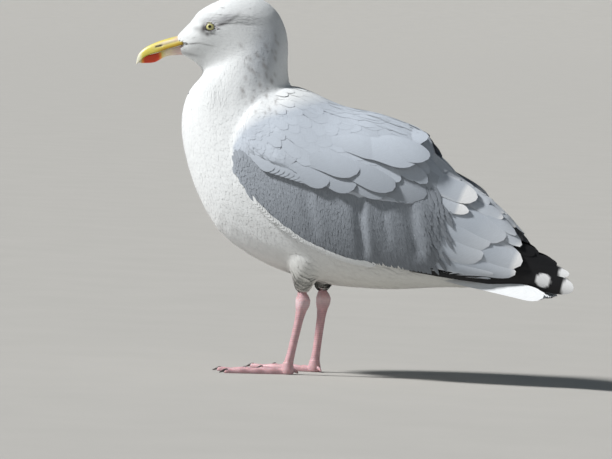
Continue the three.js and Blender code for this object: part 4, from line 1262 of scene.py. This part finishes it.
# Ahead of the eyes, top, cutting edge and half width of the upper half; then ahead, bottom,
# cutting edge and half width of the lower half. Heights are above the eyes.
UPPER_BILL = np.array([
    [30, -9.5, -20.5, 8.0], [38.2, -11.4, -23.2, 7.6], [46.2, -13.8, -25.8, 6.7],
    [53.7, -16.4, -28.8, 6], [60.7, -19.2, -31.2, 5.2], [67.7, -22.6, -33.4, 4.4],
    [73.6, -26.3, -36.6, 3.7], [77.6, -30.0, -40.6, 3.1], [80.3, -33.8, -43.4, 2.5],
    [81.8, -38.2, -44.6, 1.8], [82.4, -43.0, -45.2, 0.6]])
LOWER_BILL = np.array([
    [26, -32, -20.7, 7.4], [33.9, -32.4, -22.2, 7.1], [39.7, -32.9, -24.0, 6.5],
    [46.2, -33.9, -26.0, 5.8], [51.7, -35.8, -28.2, 5.2], [56.7, -38.9, -30.1, 4.7],
    [61, -41.4, -31.7, 4.2], [66, -42.5, -33.0, 3.6], [71.7, -43.0, -34.8, 3.0],
    [77.0, -43.2, -37.6, 2.0], [79.0, -43.0, -40.4, 0.8]])
BILL_RINGS, BILL_ARCH = 90, 33
BILL_NARROWER = 0.22  # share by which each half narrows away from its cutting edge


def groove(forward, up, breadth):
    """1 along the shallow groove that the nostril lies under, 0 away from it."""
    return np.exp(-((up + 17 + 0.33 * (forward - 38)) / breadth) ** 2)


def nostril(forward, up, half_height, half_length):
    """1 in the nostril's slit, 0 away from it."""
    slit = np.exp(-((up + 23.2 + 0.28 * (forward - 57)) / half_height) ** 2)
    return slit * np.clip(1 - ((forward - 57.6) / half_length) ** 4, 0, 1)


def from_head(forward, side, up):
    """Places given as in_head gives them."""
    return (between_eyes + ahead * np.asarray(forward)[..., None] * MM
            + across * np.asarray(side)[..., None] * MM
            + np.array([0, 0, 1]) * np.asarray(up)[..., None] * MM)


def bill_half(stations, is_upper):
    """Rings along one half, each an arch over a nearly flat floor, closed at both ends."""
    rows = eased(stations, BILL_RINGS)
    forward, top, edge, half = (rows[:, i:i + 1] for i in range(4))
    angle = np.linspace(0, math.pi, BILL_ARCH)
    ahead_of = np.repeat(forward, BILL_ARCH, 1)
    high = np.sin(angle)[None] ** (0.9 if is_upper else 0.8)
    side = -np.cos(angle)[None] * half * (1 - BILL_NARROWER * high ** 3)
    up = edge + high * (top - edge)
    if is_upper:
        hollow = 0.5 * groove(ahead_of, up, 1.5)
        hollow *= np.clip((62 - ahead_of) / 8, 0, 1) * np.clip((ahead_of - 30) / 5, 0, 1)
        side = side - np.sign(side) * (hollow + nostril(ahead_of, up, 0.75, 4.6))
    floor_side = np.linspace(1, -1, BILL_ARCH)[None, 1:-1] * half * 0.98
    floor_up = edge + (0.1 if is_upper else -0.1)
    whole = np.concatenate([
        from_head(ahead_of, side, up),
        from_head(ahead_of[:, 1:-1], floor_side, np.repeat(floor_up, BILL_ARCH - 2, 1))], 1)
    sides = whole.shape[1]
    faces = ring_faces(BILL_RINGS, sides).tolist()
    faces.append(list(range(sides))[::-1])
    faces.append(list(range((BILL_RINGS - 1) * sides, BILL_RINGS * sides)))
    points = whole.reshape(-1, 3)
    return points, faces, bill_colour(in_head(points), is_upper)


HORN_YELLOW, HORN_CREAM, HORN_OCHRE = linear("d9ca5e"), linear("ecdcc6"), linear("bf9426")
HORN_ROSE, HORN_TIP, HORN_OLIVE = linear("d9bdb8"), linear("dcdcc6"), linear("bdb840")
SPOT_RED, SPOT_ORANGE, SLIT_PAINTED_SHADE = linear("d63c08"), linear("ea8c2a"), linear("3f3334")


def over(colour, ink, amount):
    """Colours with some of another colour laid over them."""
    amount = np.clip(amount, 0, 1)[:, None]
    return colour * (1 - amount) + ink * amount


def bill_colour(head, is_upper):
    """Yellow horn with its cream and ochre bands above, and rose base and red spot below, with painted
    shade in the nostril's groove and slit.
    """
    f, u = head[:, 0], head[:, 2]
    colour = np.repeat(HORN_YELLOW[None], len(head), 0)
    edge = np.interp(f, UPPER_BILL[:, 0], UPPER_BILL[:, 2])
    if is_upper:
        top = np.interp(f, UPPER_BILL[:, 0], UPPER_BILL[:, 1])
        level = (u - edge) / (top - edge + 1e-6)
        behind = np.clip((66 - f) / 14, 0, 1)
        colour = over(colour, HORN_CREAM, 0.9 * np.exp(-((level - 0.66) / 0.17) ** 2) * behind)
        base = np.clip((44 - f) / 8, 0, 1) * np.clip(level * 2 - 0.6, 0, 1)
        colour = over(colour, HORN_ROSE, 0.6 * base)
        colour = over(colour, HORN_OCHRE, 0.95 * np.exp(-((level - 0.1) / 0.2) ** 2) * behind)
        colour = over(colour, HORN_OLIVE, 0.5 * np.exp(-((f - 73) / 5) ** 2) * (1 - level))
        # Painted shade in the groove above the nostril and in the nostril's slit.
        hollow = groove(f, u, 1.1) * np.clip((f - 34) / 6, 0, 1) * np.clip((62 - f) / 6, 0, 1)
        colour = over(colour, SLIT_PAINTED_SHADE, 0.3 * hollow)
        colour = over(colour, SLIT_PAINTED_SHADE, 1.3 * nostril(f, u, 0.8, 4.8))
    else:
        colour = over(colour, HORN_CREAM, 0.85 * np.clip((55 - f) / 6, 0, 1))
        colour = over(colour, HORN_ROSE, 0.9 * np.clip((46 - f) / 10, 0, 1))
        spot = ((f - 65.3) / 10.5) ** 4 + ((u + 37.6) / 8.5) ** 4
        colour = over(colour, SPOT_ORANGE, (1.7 - spot) * 1.4)
        colour = over(colour, SPOT_RED, (0.75 - spot) * 2.2)
    return over(colour, HORN_TIP, (f - 75.5) / 4)


# Horn: smooth and satin, grown in faint lines along the bill, about 0.5 mm apart and drawn
# 1.2 mm apart so that they show.
bill_horn, tree, surface = new_material("bill_horn", {
    "Roughness": 0.34, "IOR": 1.54, "Subsurface Weight": 0.08, "Subsurface Scale": 1.5 * MM})
tint = add(tree, "ShaderNodeAttribute", attribute_name="tint")
where = add(tree, "ShaderNodeTexCoord")
stretch = add(tree, "ShaderNodeMapping", {"Scale": (0.25, 1, 1)}, {"Vector": where.outputs["Object"]})
growth = add(tree, "ShaderNodeTexNoise", {"Scale": 1 / (1.2 * MM), "Detail": 4.0},
             {"Vector": stretch.outputs[0]})
shade = add(tree, "ShaderNodeMapRange", {"To Min": 0.86, "To Max": 1.1},
            {"Value": growth.outputs["Fac"]})
toned = add(tree, "ShaderNodeVectorMath",
            links={0: tint.outputs["Color"], "Scale": shade.outputs[0]}, operation="SCALE")
bump = add(tree, "ShaderNodeBump", {"Strength": 0.25, "Distance": 0.2 * MM},
           {"Height": growth.outputs["Fac"]})
link(tree, surface, {"Base Color": toned.outputs[0], "Normal": bump.outputs["Normal"]})

for name, stations, is_upper in (("upper", UPPER_BILL, True), ("lower", LOWER_BILL, False)):
    points, faces, colour = bill_half(stations, is_upper)
    if not is_upper:
        faces = [face[::-1] for face in faces]
    half = mixed_piece(f"bill_{name}_horn", points, faces)
    paint(half, colour)
    dress(half, bill_horn)
    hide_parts(f"bill_{name}")

# ---------------------------------------------------------------- legs, feet and claws
# Bare pink legs: a knobbly heel joint, a flat-sided shank with a row of broad scales in front,
# and three webbed toes. A small hind toe reaches the floor. The claws are short dark horn.

FOOT_TURN = {"left": 6, "right": 9}  # the toes point outwards by these degrees
TOES = [(-26, 68, 3.7, 2), (0, 86, 4.1, 3), (25, 79, 3.8, 4)]  # turn, length, half width, joints
# Of the hind toe: how far behind the heel, level and half width.
HIND_TOE = [(0, 6.5, 3.0), (5, 5.6, 2.6), (9, 4.2, 2.2), (12, 2.6, 1.7), (13.5, 1.6, 0.9)]
PAD = [(0.1, 5.8), (1.5, 7.0), (5, 7.3), (9, 6.6), (13, 5.6)]  # level and radius under the heel
WEB_SHARE = 0.87  # of each toe's length
CLAW_LENGTH = 7.5
SHANK_FROM, SHANK_TO = 4, 98  # levels
SCALE_STEP, TOE_SCALE_STEP = 2.3, 1.9  # from one broad scale to the next
SCALE_DEPTH, BACK_SCALE_DEPTH = 0.42, 0.22
BACK_SCALE_STEP = 1.5
SCALES_FROM, PLATES_TO, SCALES_TO = 8, 76, 88  # levels between which they lie
DEEP_AT, PALE_AT = 92, 81  # levels of the darkest skin and of the pale heel joint


def leg_levels(name):
    """Level, centre and half sizes of the leg's sections."""
    found = mesh_points(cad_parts[f"shank_{name}"]) / MM
    keys = np.round(found[:, 2], 1)
    rows = []
    for level in np.unique(keys):
        ring = found[keys == level]
        low, high = ring.min(0), ring.max(0)
        if high[0] - low[0] > 4:
            rows.append([level, *(low + high)[:2] / 2, *(high - low)[:2] / 2])
    return np.array(rows)


def tube(rings):
    """Points and triangles of a closed tube over rings of equal numbers of points."""
    rings = np.asarray(rings)
    count, sides = rings.shape[:2]
    points = np.concatenate([rings.reshape(-1, 3), rings[:1].mean(1), rings[-1:].mean(1)])
    quads = ring_faces(count, sides)
    c = np.arange(sides)
    d, last = (c + 1) % sides, (count - 1) * sides
    near_end = np.stack([c * 0 + count * sides, d, c], -1)
    far_end = np.stack([c * 0 + count * sides + 1, last + c, last + d], -1)
    return points, np.concatenate([quads[:, :3], quads[:, [0, 2, 3]], near_end, far_end])


def turned(points, angle):
    """Points turned about the upright axis."""
    x, y, z = np.moveaxis(np.asarray(points, float), -1, 0)
    return np.stack([x * math.cos(angle) - y * math.sin(angle),
                     x * math.sin(angle) + y * math.cos(angle), z], -1)


def shank_rings(name):
    """The shank with its row of broad scales in front and small ones behind."""
    rows = leg_levels(name)
    level = np.arange(SHANK_FROM, SHANK_TO, 0.5)
    x, y, deep, broad = (np.interp(level, rows[:, 0], rows[:, i])[:, None] for i in (1, 2, 3, 4))
    for part in (deep, broad):
        part[1:-1] = (part[:-2] + 2 * part[1:-1] + part[2:]) / 4
    spin = round_ring(40)[None]
    level = level[:, None]
    front = np.clip(-np.cos(spin), 0, 1) ** 0.5
    saw = (level / SCALE_STEP) % 1
    plate = SCALE_DEPTH * (saw ** 0.6 - 0.5) * ((level > SCALES_FROM) & (level < PLATES_TO))
    back = BACK_SCALE_DEPTH * np.sin(level / BACK_SCALE_STEP * 2 * math.pi) * np.sin(spin * 9)
    back = back * np.clip(np.cos(spin), 0, 1)
    grow = plate * front + back * ((level > SCALES_FROM) & (level < SCALES_TO))
    flat = 1 - 0.10 * np.sin(spin * 2) ** 2
    return np.stack([x + (deep + grow) * np.cos(spin) * flat,
                     y + (broad + grow * 0.6) * np.sin(spin) * flat, level + spin * 0], -1)


def toe_rings(turn, length, half, joints):
    """A toe with its knuckles and low scales, flat on the floor and rounded at the end."""
    bare = length - CLAW_LENGTH
    reach = np.arange(0, bare + 2.5, 0.5)[:, None]
    share = reach / bare
    knuckle = 1 + 0.10 * np.cos(share * joints * 2 * math.pi)
    end = np.sqrt(np.clip(1 - np.clip((reach - (bare - 1)) / 3.6, 0, 1) ** 2, 0.02, 1))
    wide = half * (1 - 0.40 * share) * knuckle * end
    saw = (reach / TOE_SCALE_STEP) % 1
    high = wide * 1.75 * (1 + 0.05 * (saw ** 0.6 - 0.5))
    spin = round_ring(24)[None]
    z = np.clip(np.sin(spin), 0, 1) ** 0.8 * high + 0.2 * np.clip(-np.sin(spin), 0, 1)
    return turned(np.stack([spin * 0 - reach, np.cos(spin) * wide, z], -1), math.radians(turn))


def web_rings():
    """The web as a thin sheet that sags between the toes, its free edge curved inwards."""
    turns = [math.radians(toe[0]) for toe in TOES]
    reach = [WEB_SHARE * toe[1] for toe in TOES]
    rings = []
    for share in np.linspace(0, 1, 41):
        which = min(int(share * 2), 1)
        part = share * 2 - which
        turn = turns[which] * (1 - part) + turns[which + 1] * part
        full = reach[which] * (1 - part) + reach[which + 1] * part
        full *= 1 - 0.20 * math.sin(math.pi * part) ** 0.8
        sag = 1 - 0.55 * math.sin(math.pi * part)
        far = np.linspace(2, full, 30)
        height = 1.4 + (2.6 * sag - 0.2) * (1 - far / full * 0.75)
        height += 0.18 * np.sin(far / 2.6 + 9 * share)  # fine wrinkles
        x, y = -np.cos(turn) * far, -np.sin(turn) * far
        top = np.stack([x, y, height], -1)
        below = np.stack([x, y, height * 0 + 0.35], -1)[::-1]
        rings.append(np.concatenate([top, below]))
    return rings


def hind_toe_rings():
    """The hind toe, which slopes back to the floor."""
    spin = round_ring(16)
    return [np.stack([np.full(16, far * 0.85), far * 0.4 + np.cos(spin) * half,
                      np.clip(level + np.sin(spin) * half, 0, None)], -1)
            for far, level, half in HIND_TOE]


def claw_rings(turn, length):
    """A claw that curves down to the floor."""
    spin = round_ring(14)
    rings = []
    for far in np.linspace(-2.2, CLAW_LENGTH, 14):
        share = max(far, 0) / CLAW_LENGTH
        half = 1.6 * (1 - share) ** 0.6 + 0.12
        level = 3.2 - 2.7 * share ** 1.4
        rings.append(np.stack([
            np.full(14, -(length - CLAW_LENGTH + far)), np.cos(spin) * half * 0.8,
            np.clip(level + np.sin(spin) * half * 1.1, 0.0, None)], -1))
    return turned(rings, math.radians(turn))


def placed(points, name):
    """From the foot's own place to where it stands."""
    side = LEFT if name == "left" else RIGHT
    rows = leg_levels(name)
    heel = rows[np.argmin(rows[:, 0])]
    foot = turned(np.array(points) * [1, -side, 1], math.radians(-side * FOOT_TURN[name]))
    return (foot + [heel[1], heel[2], 0]) * MM


LEG_GRAIN = 0.55 * MM
LEG_PINK, LEG_DEEP, LEG_PALE = linear("c7a0a5"), linear("80595f"), linear("e6d3d6")
skins, skin_colours = [hide.data], [plumage_colour(mesh_points(hide)) * SKIN_SHADE]
claws = []
for name, side in SIDES:
    spin = round_ring(32)
    pad = [np.stack([np.cos(spin) * r, np.sin(spin) * r, np.full(32, z)], -1) for z, r in PAD]
    forms = [toe_rings(*toe) for toe in TOES] + [pad, web_rings(), hind_toe_rings()]
    parts = [tube(shank_rings(name) * MM)] + [tube(placed(rings, name)) for rings in forms]
    leg = fused(f"leg_{name}", parts, LEG_GRAIN, easing=0.4, rounds=2)
    level = mesh_points(leg)[:, 2] / MM
    between_scales = (level > 9) & (np.abs((level / SCALE_STEP) % 1 - 0.02) < 0.16)
    shade = 0.35 * between_scales + 0.25 * np.exp(-((level - DEEP_AT) / 6) ** 2)
    shade = np.clip(shade + chance.normal(0, 0.02, len(level)), 0, 1)[:, None]
    pale = (0.5 * np.exp(-((level - PALE_AT) / 6) ** 2))[:, None]
    colour = LEG_PINK * (1 - shade) + LEG_DEEP * shade
    skins.append(leg.data)
    skin_colours.append(colour * (1 - pale) + LEG_PALE * pale)
    bpy.data.objects.remove(leg)
    toe_claws = united([tube(placed(claw_rings(*toe[:2]), name)) for toe in TOES])
    claws.append(new_piece(f"claws_{name}", *toe_claws))

# Bare leg skin: horny scales about 1.4 mm wide over a soft hide, satin, with a little light
# shining through.
leg_skin, tree, surface = new_material("scaled_leg_skin", {
    "Roughness": 0.42, "Subsurface Weight": 0.15, "Subsurface Scale": 2 * MM})
tint = add(tree, "ShaderNodeAttribute", attribute_name="tint")
where = add(tree, "ShaderNodeTexCoord")
scale_cells = add(tree, "ShaderNodeTexVoronoi", {"Scale": 1 / (1.4 * MM)},
                  {"Vector": where.outputs["Object"]}, feature="DISTANCE_TO_EDGE")
mottle = add(tree, "ShaderNodeTexNoise", {"Scale": 1 / (5 * MM), "Detail": 3.0},
             {"Vector": where.outputs["Object"]})
shade = add(tree, "ShaderNodeMapRange", {"To Min": 0.75, "To Max": 1.2},
            {"Value": mottle.outputs["Fac"]})
toned = add(tree, "ShaderNodeVectorMath",
            links={0: tint.outputs["Color"], "Scale": shade.outputs[0]}, operation="SCALE")
edge = add(tree, "ShaderNodeMapRange", {"From Max": 0.12}, {"Value": scale_cells.outputs["Distance"]})
bump = add(tree, "ShaderNodeBump", {"Strength": 0.5, "Distance": 0.2 * MM},
           {"Height": edge.outputs[0]})
link(tree, surface, {"Base Color": toned.outputs[0], "Normal": bump.outputs["Normal"]})

# The legs and the hide of the body are one skin.
joined = bmesh.new()
for mesh in skins:
    joined.from_mesh(mesh)
bare_from = len(skins[0].polygons)
joined.to_mesh(hide.data)
joined.free()
hide.data.materials.append(leg_skin)
which = (np.arange(len(hide.data.polygons)) >= bare_from).astype(np.int32)
hide.data.polygons.foreach_set("material_index", which)
hide.data.shade_smooth()
paint(hide, np.concatenate(skin_colours))
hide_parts("shank_left", "shank_right", "foot_left", "foot_right")

# Claw: dark horn, satin, worn a little paler and rougher in patches.
claw_horn, tree, surface = new_material("claw_horn", {"Roughness": 0.4, "IOR": 1.54})
where = add(tree, "ShaderNodeTexCoord")
worn = add(tree, "ShaderNodeTexNoise", {"Scale": 1 / (1.2 * MM), "Detail": 3.0},
           {"Vector": where.outputs["Object"]})
shade = add(tree, "ShaderNodeMix", {6: (*linear("211a19"), 1), 7: (*linear("4a3f3c"), 1)},
            {0: worn.outputs["Fac"]}, data_type="RGBA")
bump = add(tree, "ShaderNodeBump", {"Strength": 0.3, "Distance": 0.1 * MM},
           {"Height": worn.outputs["Fac"]})
link(tree, surface, {"Base Color": shade.outputs[2], "Normal": bump.outputs["Normal"]})
for claw in claws:
    dress(claw, claw_horn)

# ---------------------------------------------------------------- camera, light and floor
# The gull stands on a plain pale studio floor. A wide lamp far off shines from high in front,
# a broad dim one from the near side fills the shade, and the room's own light is cool and dim.

CAMERA_AT = Vector((1.6312, -5.7678, 0.430))
CAMERA_AIM = Vector((-0.0547, -0.0094, 0.1621))
LENS, SENSOR, ROLL = 315, 36, 2.3
camera = bpy.data.objects.new("camera", bpy.data.cameras.new("camera"))
bpy.context.scene.collection.objects.link(camera)
bpy.context.scene.camera = camera
camera.data.lens = LENS
camera.data.sensor_width = SENSOR
away = (CAMERA_AT - CAMERA_AIM).normalized()
right = Vector((0, 0, 1)).cross(away).normalized()
axes = Matrix((right, away.cross(right), away)).transposed()
axes = axes @ Matrix.Rotation(math.radians(ROLL), 3, "Z")
camera.matrix_world = Matrix.Translation(CAMERA_AT) @ axes.to_4x4()

# Painted boards: matt, warm off-white, a little uneven in patches as wide as a hand.
# The floor turns up gently far away and becomes the wall.
PATCHES = 0.125  # metres
FLAT, WALL = 40, 30  # metres to where it starts to rise, and the height it reaches
FLOOR_SIDES, FLOOR_STEPS = 64, 13
bend = np.linspace(0, 1, FLOOR_STEPS)
spin = round_ring(FLOOR_SIDES)
ring = np.stack([np.cos(spin), np.sin(spin)], -1)
rings = [np.column_stack([ring * reach, np.full(FLOOR_SIDES, height)])
         for reach, height in zip(FLAT + 2 * WALL * bend, WALL * bend ** 2)]
near = np.arange(FLOOR_SIDES)
middle = [[0, 1 + a, 1 + (a + 1) % FLOOR_SIDES] for a in near]
rising = 1 + ring_faces(FLOOR_STEPS, FLOOR_SIDES)[:, INSIDE_OUT]
floor = mixed_piece("floor", np.concatenate([[[0, 0, 0]], *rings]), middle + rising.tolist())
floor_paint, tree, surface = new_material("matt_floor_paint", {"Roughness": 0.9})
where = add(tree, "ShaderNodeTexCoord")
patchy = add(tree, "ShaderNodeTexNoise", {"Scale": 1 / PATCHES},
              {"Vector": where.outputs["Object"]})
shade = add(tree, "ShaderNodeMix", {6: (*linear("aba9a5"), 1), 7: (*linear("b2b0ac"), 1)},
            {0: patchy.outputs["Fac"]}, data_type="RGBA")
link(tree, surface, {"Base Color": shade.outputs[2]})
floor.data.materials.append(floor_paint)

# Where each lamp shines from, its breadth in degrees, its strength and its colour.
LAMPS = {"lamp": ((-0.64, -0.32, 0.70), 8, 4.8, (1.0, 0.99, 0.97)),
         "fill": ((-0.45, -0.88, 0.06), 50, 0.52, (0.87, 0.95, 1.0))}
for name, (shines_from, breadth, strength, colour) in LAMPS.items():
    light = bpy.data.lights.new(name, "SUN")
    light.angle = math.radians(breadth)
    light.energy = strength
    light.color = colour
    lamp = bpy.data.objects.new(name, light)
    bpy.context.scene.collection.objects.link(lamp)
    lamp.rotation_euler = (-Vector(shines_from)).to_track_quat("-Z", "Y").to_euler()

room = bpy.data.worlds.new("room")
bpy.context.scene.world = room
room.use_nodes = True
air = room.node_tree.nodes["Background"]
air.inputs["Color"].default_value = (0.58, 0.79, 1.0, 1)
air.inputs["Strength"].default_value = 0.11
bpy.context.scene.view_settings.view_transform = "Standard"
